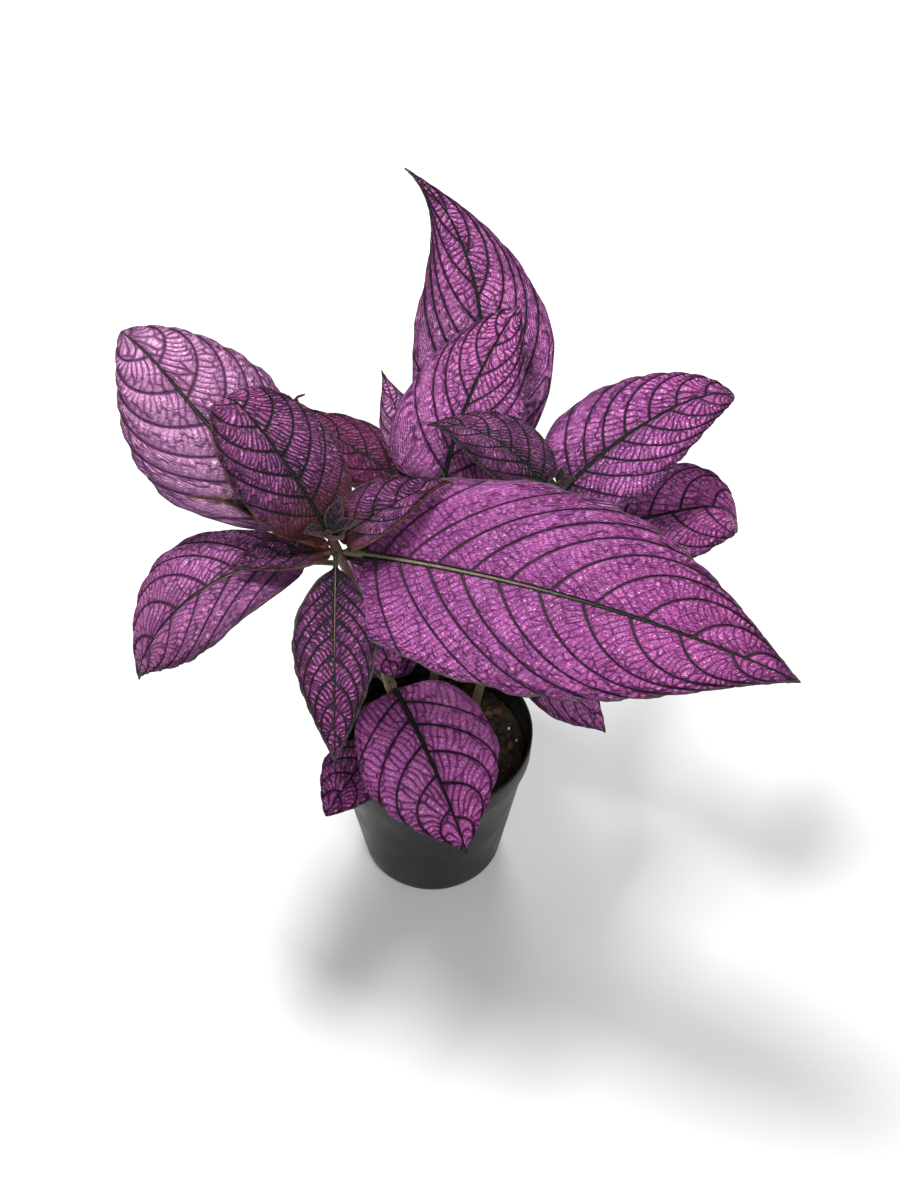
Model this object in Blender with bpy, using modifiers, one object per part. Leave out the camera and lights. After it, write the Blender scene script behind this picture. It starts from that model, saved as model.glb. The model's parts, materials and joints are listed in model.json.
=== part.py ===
"""Potted strobilanthes: a plastic nursery pot, its potting soil, three shoots, their buds and their leaves.

Metres, +Z up. The origin is the centre of the pot's flat underside. +Y points away from the viewer.
Angles are in degrees. An azimuth of 0 points along +X and 90 along +Y.
"""

import math
from collections import namedtuple

import bmesh
import bpy
import numpy as np
from mathutils import Matrix, Vector

# Pot
POT_HEIGHT = 0.100
POT_RIM_RADIUS = 0.055
POT_BASE_RADIUS = 0.039
POT_WALL = 0.0014
POT_SIDES = 40
RIM_BAND_HEIGHT = 0.014
RIM_BAND_STEP = 0.0022
RIM_BAND_DRAFT = 0.0006
FOOT_ROUND = 0.0012
DRAIN_HOLES = 8
DRAIN_HOLE_RADIUS = 0.004
DRAIN_RING_RADIUS = 0.029

# Soil
SOIL_TOP = 0.084
SOIL_MOUND = 0.003
SOIL_LUMP = 0.0009
SOIL_RINGS = 7

# Gap kept between two pieces that touch, distance at which a mesh's own points are joined, sides of a hole
TOUCH_GAP = 0.0003
WELD_DISTANCE = 0.00001
HOLE_SIDES = 8

# Stems
STEM_ROOT_DEPTH = 0.030
STEM_STEP = 0.04
STEM_THINNING = 0.35
NODE_SWELL = 1.22
NODE_REACH = 0.005

# Buds
BUD_CORE_HEIGHT = 0.006
BUD_CORE_RADIUS = 0.0019
BUD_CORE_SIDES = 8
BUD_LEAVES = 4
BUD_LEAF_TURN = 35
BUD_LEAF_RISE = 62
BUD_LEAF_LENGTH = 0.010
BUD_LEAF_WIDTH = 0.0036
BUD_LEAF_VEINS = 2

# Leaves
STALK_HALF_WIDTH = 0.0014
TIP_HALF_WIDTH = 0.0004
BLADE_THICKNESS = 0.0007
MIDRIB_THICKNESS = 0.0026
MIDRIB_REACH = 0.0022
MIDRIB_STATIONS = 64
HOOK_START = 0.72
DROOP_POWER = 1.3
VEIN_LEAN = 0.42
VEIN_LEAN_RISE = 0.06
VEIN_CROWDING = 0.75
RIB_SHARE = 0.13
MARGIN_NOTCH = 0.035

Shoot = namedtuple("Shoot", "foot tip bow radius")
SHOOTS = {
    "front": Shoot(foot=(-0.012, -0.010), tip=(-0.045, -0.024, 0.274), bow=(0.004, 0.000), radius=0.0030),
    "right": Shoot(foot=(0.020, 0.006), tip=(0.062, 0.026, 0.257), bow=(-0.004, 0.004), radius=0.0026),
    "back": Shoot(foot=(-0.002, 0.022), tip=(0.004, 0.046, 0.234), bow=(0.004, 0.004), radius=0.0026),
}

# One leaf. height is its place on the shoot, from 0 at the soil to 1 at the tip. azimuth and rise are its
# direction at the stem. droop and sway bend it down and sideways over its whole length, hook and swerve
# bend its last part, roll turns it about its midrib, fold lifts each half and arch bends it down again.
LEAF_FIELDS = {
    "shoot": "front",
    "height": 1.0,
    "azimuth": 0.0,
    "rise": 20.0,
    "droop": 30.0,
    "sway": 0.0,
    "hook": 0.0,
    "swerve": 0.0,
    "roll": 0.0,
    "length": 0.120,
    "width": 0.050,
    "stalk": 0.010,
    "fold": 12.0,
    "arch": 20.0,
    "belly": 0.42,
    "base_taper": 1.0,
    "tip_taper": 1.2,
    "veins": 7,
    "columns": 3,
}
Leaf = namedtuple("Leaf", LEAF_FIELDS, defaults=LEAF_FIELDS.values())

LEAVES = {
    "front_leaf_1": Leaf(
        height=0.955, azimuth=-24.5, rise=14.5, droop=22, sway=-2, roll=24, length=0.2235, width=0.100,
        stalk=0.012, fold=8, arch=18, belly=0.39, base_taper=0.34, tip_taper=1.08, veins=10,
    ),
    "front_leaf_2": Leaf(
        height=0.92, azimuth=148, rise=30, droop=4, sway=-17, hook=29, roll=-20, length=0.154, width=0.078,
        stalk=0.012, fold=6, arch=26, belly=0.51, base_taper=1.25, tip_taper=0.78, veins=8,
    ),
    "front_leaf_3": Leaf(
        height=0.995, azimuth=134, rise=48, droop=38, hook=60, length=0.093, width=0.058, stalk=0.004,
        arch=26, base_taper=0.55, tip_taper=0.8,
    ),
    "front_leaf_4": Leaf(
        height=0.965, azimuth=271, rise=-10, droop=34, length=0.101, width=0.038, stalk=0.008, tip_taper=1.0,
    ),
    "front_leaf_5": Leaf(
        height=0.96, azimuth=195, rise=12, droop=24, length=0.049, width=0.022, stalk=0.004, fold=20, veins=5,
        columns=2,
    ),
    "front_leaf_6": Leaf(
        height=0.99, azimuth=17, rise=30, droop=12, hook=30, length=0.061, width=0.034, stalk=0.002, fold=24,
        belly=0.34, base_taper=0.5, tip_taper=1.6, veins=5,
    ),
    "front_leaf_7": Leaf(
        height=0.915, azimuth=182, rise=10, droop=84, sway=36, roll=4, length=0.126, width=0.072, stalk=0.014,
        belly=0.50, base_taper=0.54, tip_taper=1.35,
    ),
    "front_leaf_8": Leaf(
        height=0.42, azimuth=299, rise=-16, droop=40, length=0.097, width=0.074, stalk=0.004,
        base_taper=0.38, veins=6,
    ),
    "front_leaf_9": Leaf(
        height=0.21, azimuth=232, rise=-3, droop=32, length=0.062, width=0.037, stalk=0.014, tip_taper=0.9,
        veins=5, columns=2,
    ),
    "front_leaf_10": Leaf(
        height=0.975, azimuth=169, rise=34, droop=40, length=0.070, width=0.015, stalk=0.004, belly=0.30,
        tip_taper=4.0, veins=5, columns=2,
    ),
    "front_leaf_11": Leaf(
        height=0.80, azimuth=12, rise=0, droop=40, length=0.110, width=0.054,
    ),
    "front_leaf_12": Leaf(
        height=0.38, azimuth=128, rise=0, droop=50, length=0.072, width=0.034, veins=6,
    ),
    "front_leaf_13": Leaf(
        height=0.78, azimuth=302, rise=-30, droop=30, length=0.042, width=0.030, stalk=0.005, veins=5, columns=2,
    ),
    "front_leaf_14": Leaf(
        height=0.62, azimuth=84, rise=6, droop=70, length=0.084, width=0.042, veins=6,
    ),
    "right_leaf_1": Leaf(
        shoot="right", height=0.97, azimuth=132, rise=35, droop=57, sway=33, roll=5, length=0.0755,
        width=0.043, stalk=0.003, belly=0.39, base_taper=0.58, tip_taper=1.5, veins=6,
    ),
    "right_leaf_2": Leaf(
        shoot="right", height=0.93, azimuth=35, rise=36, droop=36, sway=-17, hook=22, roll=5, length=0.1125,
        width=0.066, belly=0.31, base_taper=0.6, tip_taper=0.68, veins=8,
    ),
    "right_leaf_3": Leaf(
        shoot="right", height=0.80, azimuth=0, rise=17, droop=10, sway=8, hook=62, roll=10, length=0.108,
        width=0.063, stalk=0.012, belly=0.52, tip_taper=0.5,
    ),
    "right_leaf_4": Leaf(
        shoot="right", height=0.97, azimuth=335, rise=-6, droop=30, length=0.050, width=0.024, stalk=0.004,
        veins=5, columns=2,
    ),
    "right_leaf_5": Leaf(
        shoot="right", height=0.76, azimuth=196, rise=-6, droop=40, length=0.060, width=0.032, veins=5,
        columns=2,
    ),
    "right_leaf_6": Leaf(
        shoot="right", height=0.60, azimuth=290, rise=0, droop=64, length=0.056, width=0.032, veins=5,
        columns=2,
    ),
    "right_leaf_7": Leaf(
        shoot="right", height=0.50, azimuth=64, rise=4, droop=80, length=0.105, width=0.056, stalk=0.014,
    ),
    "right_leaf_8": Leaf(
        shoot="right", height=0.34, azimuth=340, rise=-4, droop=60, length=0.078, width=0.040, veins=6,
    ),
    "back_leaf_1": Leaf(
        shoot="back", height=0.97, azimuth=74.5, rise=46, droop=10, sway=-30, roll=3, length=0.105,
        width=0.067, stalk=0.005, belly=0.29, base_taper=0.42, tip_taper=0.75,
    ),
    "back_leaf_2": Leaf(
        shoot="back", height=0.93, azimuth=150, rise=26, droop=28, hook=-150, length=0.106, width=0.042,
        fold=6, tip_taper=1.9, veins=6,
    ),
    "back_leaf_3": Leaf(
        shoot="back", height=0.85, azimuth=55, rise=43.5, droop=23.5, sway=79, swerve=9, length=0.205,
        width=0.074, stalk=0.020, belly=0.37, tip_taper=1.57, veins=9,
    ),
    "back_leaf_4": Leaf(
        shoot="back", height=0.95, azimuth=121, rise=33, droop=14, sway=-12, roll=-12, length=0.077,
        width=0.024, tip_taper=1.6, veins=5, columns=2,
    ),
    "back_leaf_5": Leaf(
        shoot="back", height=0.31, azimuth=205, rise=4, droop=24, length=0.040, width=0.022, stalk=0.008,
        veins=4, columns=2,
    ),
    "back_leaf_6": Leaf(
        shoot="back", height=0.66, azimuth=92, rise=0, droop=84, length=0.110, width=0.058, stalk=0.014,
    ),
    "back_leaf_7": Leaf(
        shoot="back", height=0.48, azimuth=150, rise=-8, droop=70, length=0.096, width=0.050, stalk=0.014,
    ),
    "back_leaf_8": Leaf(
        shoot="back", height=0.46, azimuth=28, rise=-10, droop=60, length=0.062, width=0.034, veins=5,
        columns=2,
    ),
    "back_leaf_9": Leaf(
        shoot="back", height=0.28, azimuth=82, rise=0, droop=70, length=0.080, width=0.042, veins=6,
    ),
}


def smooth(value):
    """0 below 0, 1 above 1 and a smooth step between."""
    value = np.clip(value, 0, 1)
    return value * value * (3 - 2 * value)


def stem_point(shoot, height):
    """A point on the shoot's centre line, at a height from 0 at the soil to 1 at the tip."""
    foot = Vector((*shoot.foot, SOIL_TOP))
    tip = Vector(shoot.tip)
    bow = Vector((*shoot.bow, 0.0))
    return foot + (tip - foot) * height + bow * 4 * height * (1 - height)


def stem_direction(shoot, height):
    """The direction in which the shoot grows at that height."""
    step = 0.01
    return (stem_point(shoot, height + step) - stem_point(shoot, height - step)).normalized()


def stem_radius(shoot, height):
    """The stem thins towards its tip."""
    return shoot.radius * (1.0 - STEM_THINNING * max(0.0, height))


def node_swelling(name, height):
    """How much thicker the stem is where leaves spring from it."""
    length = (Vector(SHOOTS[name].tip) - stem_point(SHOOTS[name], 0)).length
    nearest = min(abs(height - leaf.height) for leaf in LEAVES.values() if leaf.shoot == name)
    return 1 + (NODE_SWELL - 1) * max(0.0, 1 - (nearest * length / NODE_REACH) ** 2)


def ring_heights(name):
    """The heights of the stem's rings: one at each leaf, and even steps between them."""
    rings = [0.0]
    for height in sorted({leaf.height for leaf in LEAVES.values() if leaf.shoot == name} | {1.0}):
        begin = rings[-1]
        steps = math.ceil((height - begin) / STEM_STEP)
        rings += [begin + (height - begin) * (step + 1) / steps for step in range(steps)]
    return rings


def leaf_foot(leaf):
    """Where the leaf stalk meets the side of its stem, the touching gap away from it."""
    shoot = SHOOTS[leaf.shoot]
    along = stem_direction(shoot, leaf.height)
    azimuth, rise = math.radians(leaf.azimuth), math.radians(leaf.rise)
    ahead = Vector((
        math.cos(rise) * math.cos(azimuth), math.cos(rise) * math.sin(azimuth), math.sin(rise),
    ))
    outward = (ahead - along * ahead.dot(along)).normalized()
    hang = max(0.0, -ahead.dot(along))
    reach = stem_radius(shoot, leaf.height) * NODE_SWELL + TOUCH_GAP + MIDRIB_THICKNESS * hang
    return stem_point(shoot, leaf.height) + outward * reach


def midrib(leaf, foot):
    """Centre, leftward and upward directions at even steps from the stalk's foot to the leaf's tip."""
    share = np.linspace(0, 1, MIDRIB_STATIONS)
    late = smooth((share - HOOK_START) / (1 - HOOK_START))
    pitch = np.radians(leaf.rise - leaf.droop * share**DROOP_POWER - leaf.hook * late)
    yaw = np.radians(leaf.azimuth + leaf.sway * share + leaf.swerve * late)
    ahead = np.stack([np.cos(pitch) * np.cos(yaw), np.cos(pitch) * np.sin(yaw), np.sin(pitch)], axis=1)
    step = leaf.length / (MIDRIB_STATIONS - 1)
    travelled = np.cumsum((ahead[1:] + ahead[:-1]) / 2 * step, axis=0)
    centre = np.array(foot) + np.vstack([np.zeros(3), travelled])
    level = np.stack([-np.sin(yaw), np.cos(yaw), np.zeros_like(yaw)], axis=1)
    above = np.cross(ahead, level)
    turn = math.radians(leaf.roll)
    left = level * math.cos(turn) + above * math.sin(turn)
    up = above * math.cos(turn) - level * math.sin(turn)
    return share, centre, left, up


def half_width(leaf, along):
    """Half the blade's width at a share of the blade's length, stalk and drip tip included."""
    peak = along ** (math.log(0.5) / math.log(leaf.belly))
    taper = leaf.base_taper * (1 - along) + leaf.tip_taper * along
    blade = leaf.width / 2 * np.sin(np.pi * np.clip(peak, 0, 1)) ** taper
    return STALK_HALF_WIDTH * (1 - along) + TIP_HALF_WIDTH * along + blade


def row_along(origin, aside):
    """How far along the blade a side vein lies that leaves the midrib at origin, aside towards the margin."""
    lean = VEIN_LEAN * (1 - origin) * (1 - np.exp(-origin / VEIN_LEAN_RISE))
    return np.clip(origin + lean * (aside + aside**3) / 2, 0, 1)


def place(leaf, spine, along, across, half, relief):
    """Points of one row of the blade, given how far along and across each lies."""
    share, centre, left, up = spine
    at = np.stack([np.interp(along, share, centre[:, axis]) for axis in range(3)], axis=1)
    leftward = np.stack([np.interp(along, share, left[:, axis]) for axis in range(3)], axis=1)
    upward = np.stack([np.interp(along, share, up[:, axis]) for axis in range(3)], axis=1)
    aside = np.abs(across)
    fold, arch = math.radians(leaf.fold), math.radians(leaf.arch)
    sideways = half * (math.sin(fold) - np.sin(fold - arch * aside)) / arch
    lift = half * (np.cos(fold - arch * aside) - math.cos(fold)) / arch + relief
    return at + leftward * (np.sign(across) * sideways)[:, None] + upward * lift[:, None]


def blade_grid(leaf, foot):
    """Points of the upper face as an array of rows by columns, and the thickness at each.

    The first rows are the stalk. Each row of the blade follows a side vein or the puff between two."""
    spine = midrib(leaf, foot)
    stalk_share = leaf.stalk / leaf.length
    across = np.linspace(-1, 1, 2 * leaf.columns + 1)
    aside = np.abs(across)
    points, thickness = [], []
    for begin in (0.0, 0.55):
        along = np.full_like(across, begin * stalk_share)
        half = np.full_like(across, STALK_HALF_WIDTH)
        points.append(place(leaf, spine, along, across, half, 0.0))
        thickness.append(MIDRIB_THICKNESS * (1 - 0.45 * aside**2))
    for phase in np.arange(2 * leaf.veins + 1) / 2:
        origin = (phase / leaf.veins) ** (1 / VEIN_CROWDING)
        reach = row_along(origin, aside)
        notch = 1 - MARGIN_NOTCH * aside**4 * math.cos(math.pi * phase) ** 2
        half = half_width(leaf, reach) * notch
        puff = RIB_SHARE * leaf.width / leaf.veins * abs(math.sin(math.pi * phase))
        relief = puff * np.sin(np.pi * aside**0.8) * min(1.0, 4 * origin * (1 - origin))
        along = stalk_share + (1 - stalk_share) * reach
        points.append(place(leaf, spine, along, across, half, relief))
        keel = MIDRIB_THICKNESS * (1 - reach) ** 0.7 * np.exp(-((aside * half / MIDRIB_REACH) ** 2))
        thickness.append(np.maximum(keel, BLADE_THICKNESS))
    return np.array(points), np.array(thickness)


def material(name, colour, roughness, metallic=0.0):
    """A plain Principled material."""
    made = bpy.data.materials.new(name)
    made.use_nodes = True
    shader = made.node_tree.nodes["Principled BSDF"]
    shader.inputs["Base Color"].default_value = (*colour, 1.0)
    shader.inputs["Roughness"].default_value = roughness
    shader.inputs["Metallic"].default_value = metallic
    return made


def add_object(name, data, collection, finish=None):
    """A new object in the collection."""
    made = bpy.data.objects.new(name, data)
    if finish is not None:
        data.materials.append(finish)
    collection.objects.link(made)
    return made


def side_collection(name):
    """A collection for cutters or for shapes that are joined to another."""
    group = bpy.data.collections.new(name)
    bpy.context.scene.collection.children.link(group)
    return group


def solid_mesh(made):
    """The object's mesh with its modifiers applied."""
    bpy.context.view_layer.update()
    return bpy.data.meshes.new_from_object(made.evaluated_get(bpy.context.evaluated_depsgraph_get()))


def combine(made, group, operation):
    """Joins the objects of a collection to the object, or cuts them out of it, and removes them."""
    change = made.modifiers.new(operation.lower(), "BOOLEAN")
    change.operand_type = "COLLECTION"
    change.collection = group
    change.operation = operation
    mesh = solid_mesh(made)
    made.modifiers.clear()
    made.data = mesh
    for used in list(group.objects):
        bpy.data.objects.remove(used)
    bpy.data.collections.remove(group)


def add_rod(name, radius, tip_radius, sides, middle, direction, length, collection, finish=None):
    """A straight rod, tapered if its two radii differ."""
    turn = direction.to_track_quat("Z", "Y").to_matrix().to_4x4()
    rod = bmesh.new()
    bmesh.ops.create_cone(
        rod, cap_ends=True, segments=sides, radius1=radius, radius2=tip_radius, depth=length,
        matrix=Matrix.Translation(middle) @ turn,
    )
    mesh = bpy.data.meshes.new(name)
    rod.to_mesh(mesh)
    rod.free()
    return add_object(name, mesh, collection, finish)


def turned(name, profile, collection, finish):
    """A profile of (radius, height) points, from axis to axis, turned about the upright axis."""
    outline = bmesh.new()
    points = [outline.verts.new((radius, 0, height)) for radius, height in profile]
    for start, end in zip(points, points[1:]):
        outline.edges.new((start, end))
    mesh = bpy.data.meshes.new(name)
    outline.to_mesh(mesh)
    outline.free()
    made = add_object(name, mesh, collection, finish)
    screw = made.modifiers.new("turn", "SCREW")
    screw.axis = "Z"
    screw.steps = POT_SIDES
    screw.render_steps = POT_SIDES
    screw.use_merge_vertices = True
    screw.merge_threshold = WELD_DISTANCE
    return made


def pot_radius(height):
    """The outer radius of the pot's sloping side, below its rim band."""
    slope = (POT_RIM_RADIUS - RIM_BAND_STEP - POT_BASE_RADIUS) / (POT_HEIGHT - RIM_BAND_HEIGHT)
    return POT_BASE_RADIUS + slope * height


def build_pot(collection):
    """A thin plastic nursery pot: stepped rim band, sloping side and a ring of drain holes in its floor."""
    band_foot = POT_HEIGHT - RIM_BAND_HEIGHT
    profile = [
        (0, POT_WALL),
        (pot_radius(POT_WALL) - POT_WALL, POT_WALL),
        (pot_radius(band_foot) - POT_WALL, band_foot),
        (POT_RIM_RADIUS - POT_WALL, band_foot + RIM_BAND_STEP),
        (POT_RIM_RADIUS - POT_WALL, POT_HEIGHT),
        (POT_RIM_RADIUS, POT_HEIGHT),
        (POT_RIM_RADIUS - RIM_BAND_DRAFT, band_foot),
        (pot_radius(band_foot), band_foot - RIM_BAND_DRAFT),
        (pot_radius(FOOT_ROUND), FOOT_ROUND),
        (POT_BASE_RADIUS - FOOT_ROUND, 0),
        (0, 0),
    ]
    pot = turned("pot", profile, collection, material("pot plastic", (0.020, 0.021, 0.023), 0.5))
    holes = side_collection("drain holes")
    for number in range(DRAIN_HOLES):
        angle = 2 * math.pi * (number + 0.5) / DRAIN_HOLES
        middle = (DRAIN_RING_RADIUS * math.cos(angle), DRAIN_RING_RADIUS * math.sin(angle), POT_WALL / 2)
        add_rod(
            f"drain hole {number}", DRAIN_HOLE_RADIUS, DRAIN_HOLE_RADIUS, HOLE_SIDES, middle,
            Vector((0, 0, 1)), 4 * POT_WALL, holes,
        )
    combine(pot, holes, "DIFFERENCE")


def soil_height(x, y):
    """The lumpy, slightly mounded top of the soil."""
    edge = pot_radius(SOIL_TOP) - POT_WALL
    mound = SOIL_MOUND * (1 - (x * x + y * y) / edge**2)
    lumps = math.sin(x * 310 + 1.3) * math.cos(y * 270 - 0.6) + math.sin(x * 610 - y * 520)
    return SOIL_TOP + mound + SOIL_LUMP * lumps


def build_soil(collection):
    """The potting soil, filled to a finger's width under the rim, with a plain hole for each stem."""
    inset = POT_WALL + TOUCH_GAP
    edge = pot_radius(SOIL_TOP) - inset
    profile = [(edge * ring / SOIL_RINGS, SOIL_TOP) for ring in range(SOIL_RINGS + 1)]
    profile += [(pot_radius(inset) - inset, inset), (0, inset)]
    soil = turned("soil", profile, collection, material("soil", (0.035, 0.022, 0.014), 0.95))
    soil.data = solid_mesh(soil)
    soil.modifiers.clear()
    for vertex in soil.data.vertices:
        x, y, z = vertex.co
        if z > SOIL_TOP - TOUCH_GAP and math.hypot(x, y) < edge - TOUCH_GAP:
            vertex.co.z = soil_height(x, y)
    holes = side_collection("stem holes")
    for name, shoot in SHOOTS.items():
        radius = shoot.radius * NODE_SWELL + TOUCH_GAP
        add_rod(
            f"{name} stem hole", radius, radius, HOLE_SIDES, stem_point(shoot, 0),
            stem_direction(shoot, 0), 2 * (STEM_ROOT_DEPTH + TOUCH_GAP), holes,
        )
    combine(soil, holes, "DIFFERENCE")


def build_stem(name, shoot, collection, finish):
    """One shoot's stem: a tube that stands in the soil, thins upwards and swells where leaves spring."""
    curve = bpy.data.curves.new(f"{name}_stem", "CURVE")
    curve.dimensions = "3D"
    curve.bevel_depth = shoot.radius
    curve.bevel_resolution = 2
    curve.use_fill_caps = True
    rings = ring_heights(name)
    line = curve.splines.new("POLY")
    line.points.add(len(rings))
    root = stem_point(shoot, 0) - stem_direction(shoot, 0) * STEM_ROOT_DEPTH
    line.points[0].co = (*root, 1)
    for point, height in zip(line.points[1:], rings):
        point.co = (*stem_point(shoot, height), 1)
        point.radius = stem_radius(shoot, height) / shoot.radius * node_swelling(name, height)
    add_object(f"{name}_stem", curve, collection, finish)


def build_leaf(name, leaf, foot, collection, finish):
    """A grid laid over the blade and its stalk, split into triangles and given its thickness."""
    points, thickness = blade_grid(leaf, foot)
    count_along, count_across = points.shape[:2]
    sheet = bmesh.new()
    bmesh.ops.create_grid(sheet, x_segments=count_across - 1, y_segments=count_along - 1, size=1)
    sheet.verts.ensure_lookup_table()
    for vertex, point in zip(sheet.verts, points[:, ::-1].reshape(-1, 3)):
        vertex.co = point
    bmesh.ops.triangulate(sheet, faces=sheet.faces)
    mesh = bpy.data.meshes.new(name)
    sheet.to_mesh(mesh)
    sheet.free()
    made = add_object(name, mesh, collection, finish)
    body = made.vertex_groups.new(name="thickness")
    for index, value in enumerate(thickness[:, ::-1].reshape(-1)):
        body.add([index], float(value / MIDRIB_THICKNESS), "REPLACE")
    solid = made.modifiers.new("blade thickness", "SOLIDIFY")
    solid.thickness = MIDRIB_THICKNESS
    solid.offset = -1
    solid.vertex_group = "thickness"


def build_bud(name, shoot, collection, finish):
    """The shoot's closed bud: a small pointed core with two pairs of folded young leaves sunk into it."""
    direction = stem_direction(shoot, 1)
    foot = Vector(shoot.tip) + direction * TOUCH_GAP
    middle = foot + direction * BUD_CORE_HEIGHT / 2
    bud = add_rod(
        f"{name}_bud", BUD_CORE_RADIUS, BUD_CORE_RADIUS / 4, BUD_CORE_SIDES, middle, direction,
        BUD_CORE_HEIGHT, collection, finish,
    )
    pairs = side_collection(f"{name} bud leaves")
    for number in range(BUD_LEAVES):
        young = Leaf(
            azimuth=BUD_LEAF_TURN + 360 * number / BUD_LEAVES, rise=BUD_LEAF_RISE, droop=-12,
            length=BUD_LEAF_LENGTH, width=BUD_LEAF_WIDTH, stalk=BUD_CORE_RADIUS, fold=40,
            veins=BUD_LEAF_VEINS, columns=1,
        )
        start = foot + direction * BUD_CORE_HEIGHT * (0.35 + 0.20 * (number % 2))
        build_leaf(f"{name} bud leaf {number}", young, start, pairs, finish)
    combine(bud, pairs, "UNION")


def main():
    """Builds every piece."""
    for old in list(bpy.data.objects):
        bpy.data.objects.remove(old)
    plant = bpy.data.collections.new("potted strobilanthes")
    bpy.context.scene.collection.children.link(plant)
    build_pot(plant)
    build_soil(plant)
    stem_finish = material("stem", (0.10, 0.06, 0.045), 0.6)
    bud_finish = material("bud", (0.16, 0.05, 0.06), 0.5)
    leaf_finish = material("leaf", (0.30, 0.06, 0.30), 0.4, 0.2)
    for name, shoot in SHOOTS.items():
        build_stem(name, shoot, plant, stem_finish)
        build_bud(name, shoot, plant, bud_finish)
    for name, leaf in LEAVES.items():
        build_leaf(name, leaf, leaf_foot(leaf), plant, leaf_finish)


main()
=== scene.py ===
"""Potted strobilanthes: the fine surface of its pot, soil, shoots and leaves.

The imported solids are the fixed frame. Metres, +Z up, the origin at the centre of the pot's underside.
"""

import json
import math
from collections import namedtuple

import bpy
import numpy as np
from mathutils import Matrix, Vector, noise

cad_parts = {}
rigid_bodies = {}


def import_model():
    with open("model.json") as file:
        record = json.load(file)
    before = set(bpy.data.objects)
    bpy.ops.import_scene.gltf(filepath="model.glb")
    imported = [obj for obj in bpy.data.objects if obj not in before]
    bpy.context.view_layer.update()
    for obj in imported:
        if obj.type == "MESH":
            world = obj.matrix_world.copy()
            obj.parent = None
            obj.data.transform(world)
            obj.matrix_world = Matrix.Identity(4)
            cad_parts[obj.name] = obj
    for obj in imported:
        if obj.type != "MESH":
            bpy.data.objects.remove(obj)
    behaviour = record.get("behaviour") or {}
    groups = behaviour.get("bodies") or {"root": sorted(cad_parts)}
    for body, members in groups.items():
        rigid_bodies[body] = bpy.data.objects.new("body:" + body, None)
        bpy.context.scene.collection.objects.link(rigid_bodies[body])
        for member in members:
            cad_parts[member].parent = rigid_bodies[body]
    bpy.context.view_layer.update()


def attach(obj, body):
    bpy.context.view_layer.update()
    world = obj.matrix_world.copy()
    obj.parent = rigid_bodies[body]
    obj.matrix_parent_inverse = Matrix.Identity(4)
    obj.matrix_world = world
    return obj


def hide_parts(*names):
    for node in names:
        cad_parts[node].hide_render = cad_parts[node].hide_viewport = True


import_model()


# Pot
# A thin nursery pot, moulded in one piece from recycled black plastic. It has a stepped rim band, a
# sloping side with faint mould lines, and a ring of drain holes round the plain middle of its floor.

POT_HEIGHT = 0.100
POT_RIM_RADIUS = 0.055
POT_BASE_RADIUS = 0.039
POT_WALL = 0.0014
POT_SIDES = 144
RIM_BAND_HEIGHT = 0.014
RIM_BAND_STEP = 0.0022
RIM_BAND_DRAFT = 0.0006
RIM_ROUND = 0.0005
DRAIN_HOLES = 8
DRAIN_HOLE_RADIUS = 0.004
DRAIN_RING_RADIUS = 0.029
DRAIN_CUTTER_DEPTH = 0.02
SHARP_EDGE_ANGLE = 50
MERGE_REACH = 0.00001


def pot_radius(height):
    """The outer radius of the pot's sloping side, below its rim band."""
    slope = (POT_RIM_RADIUS - RIM_BAND_STEP - POT_BASE_RADIUS) / (POT_HEIGHT - RIM_BAND_HEIGHT)
    return POT_BASE_RADIUS + slope * height


def add_piece(name, mesh, *finishes):
    """A new object of the plant, riding on the root body."""
    made = bpy.data.objects.new(name, mesh)
    bpy.context.scene.collection.objects.link(made)
    for finish in finishes:
        mesh.materials.append(finish)
    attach(made, "root")
    return made


def mesh_of(name, points, faces):
    """A smooth-shaded mesh."""
    mesh = bpy.data.meshes.new(name)
    mesh.from_pydata(np.reshape(points, (-1, 3)).tolist(), [], faces)
    mesh.shade_smooth()
    mesh.update()
    return mesh


def add_node(tree, kind, options=None, sockets=None):
    """A shader node with its options and its sockets set, each to a value or to another node's output."""
    made = tree.nodes.new(kind)
    for name, value in (options or {}).items():
        setattr(made, name, value)
    for name, value in (sockets or {}).items():
        if isinstance(value, bpy.types.NodeSocket):
            tree.links.new(value, made.inputs[name])
        else:
            made.inputs[name].default_value = value
    return made


def maths(tree, operation, first, second=0.0, third=0.0):
    """The result of a Math node."""
    made = add_node(tree, "ShaderNodeMath", {"operation": operation}, {0: first, 1: second, 2: third})
    return made.outputs[0]


def times(tree, *factors):
    """The product of all the factors."""
    product = factors[0]
    for factor in factors[1:]:
        product = maths(tree, "MULTIPLY", product, factor)
    return product


def scaled(tree, value, by, plus):
    """The value multiplied by one value, plus another."""
    return maths(tree, "MULTIPLY_ADD", value, by, plus)


def fade(tree, value, low, high, start=0.0, end=1.0):
    """A smooth step from start to end as the value goes from low to high."""
    made = add_node(
        tree, "ShaderNodeMapRange", {"interpolation_type": "SMOOTHSTEP"},
        {0: value, 1: low, 2: high, 3: start, 4: end},
    )
    return made.outputs[0]


def blend(tree, factor, first, second):
    """Two colours mixed by a factor."""
    made = add_node(tree, "ShaderNodeMix", {"data_type": "RGBA"}, {0: factor, 6: first, 7: second})
    return made.outputs[2]


def colour(red, green, blue):
    """An opaque linear colour."""
    return (red, green, blue, 1.0)


def object_place(tree):
    """The surface point in metres, in the plant's own frame."""
    return add_node(tree, "ShaderNodeTexCoord").outputs["Object"]


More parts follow.
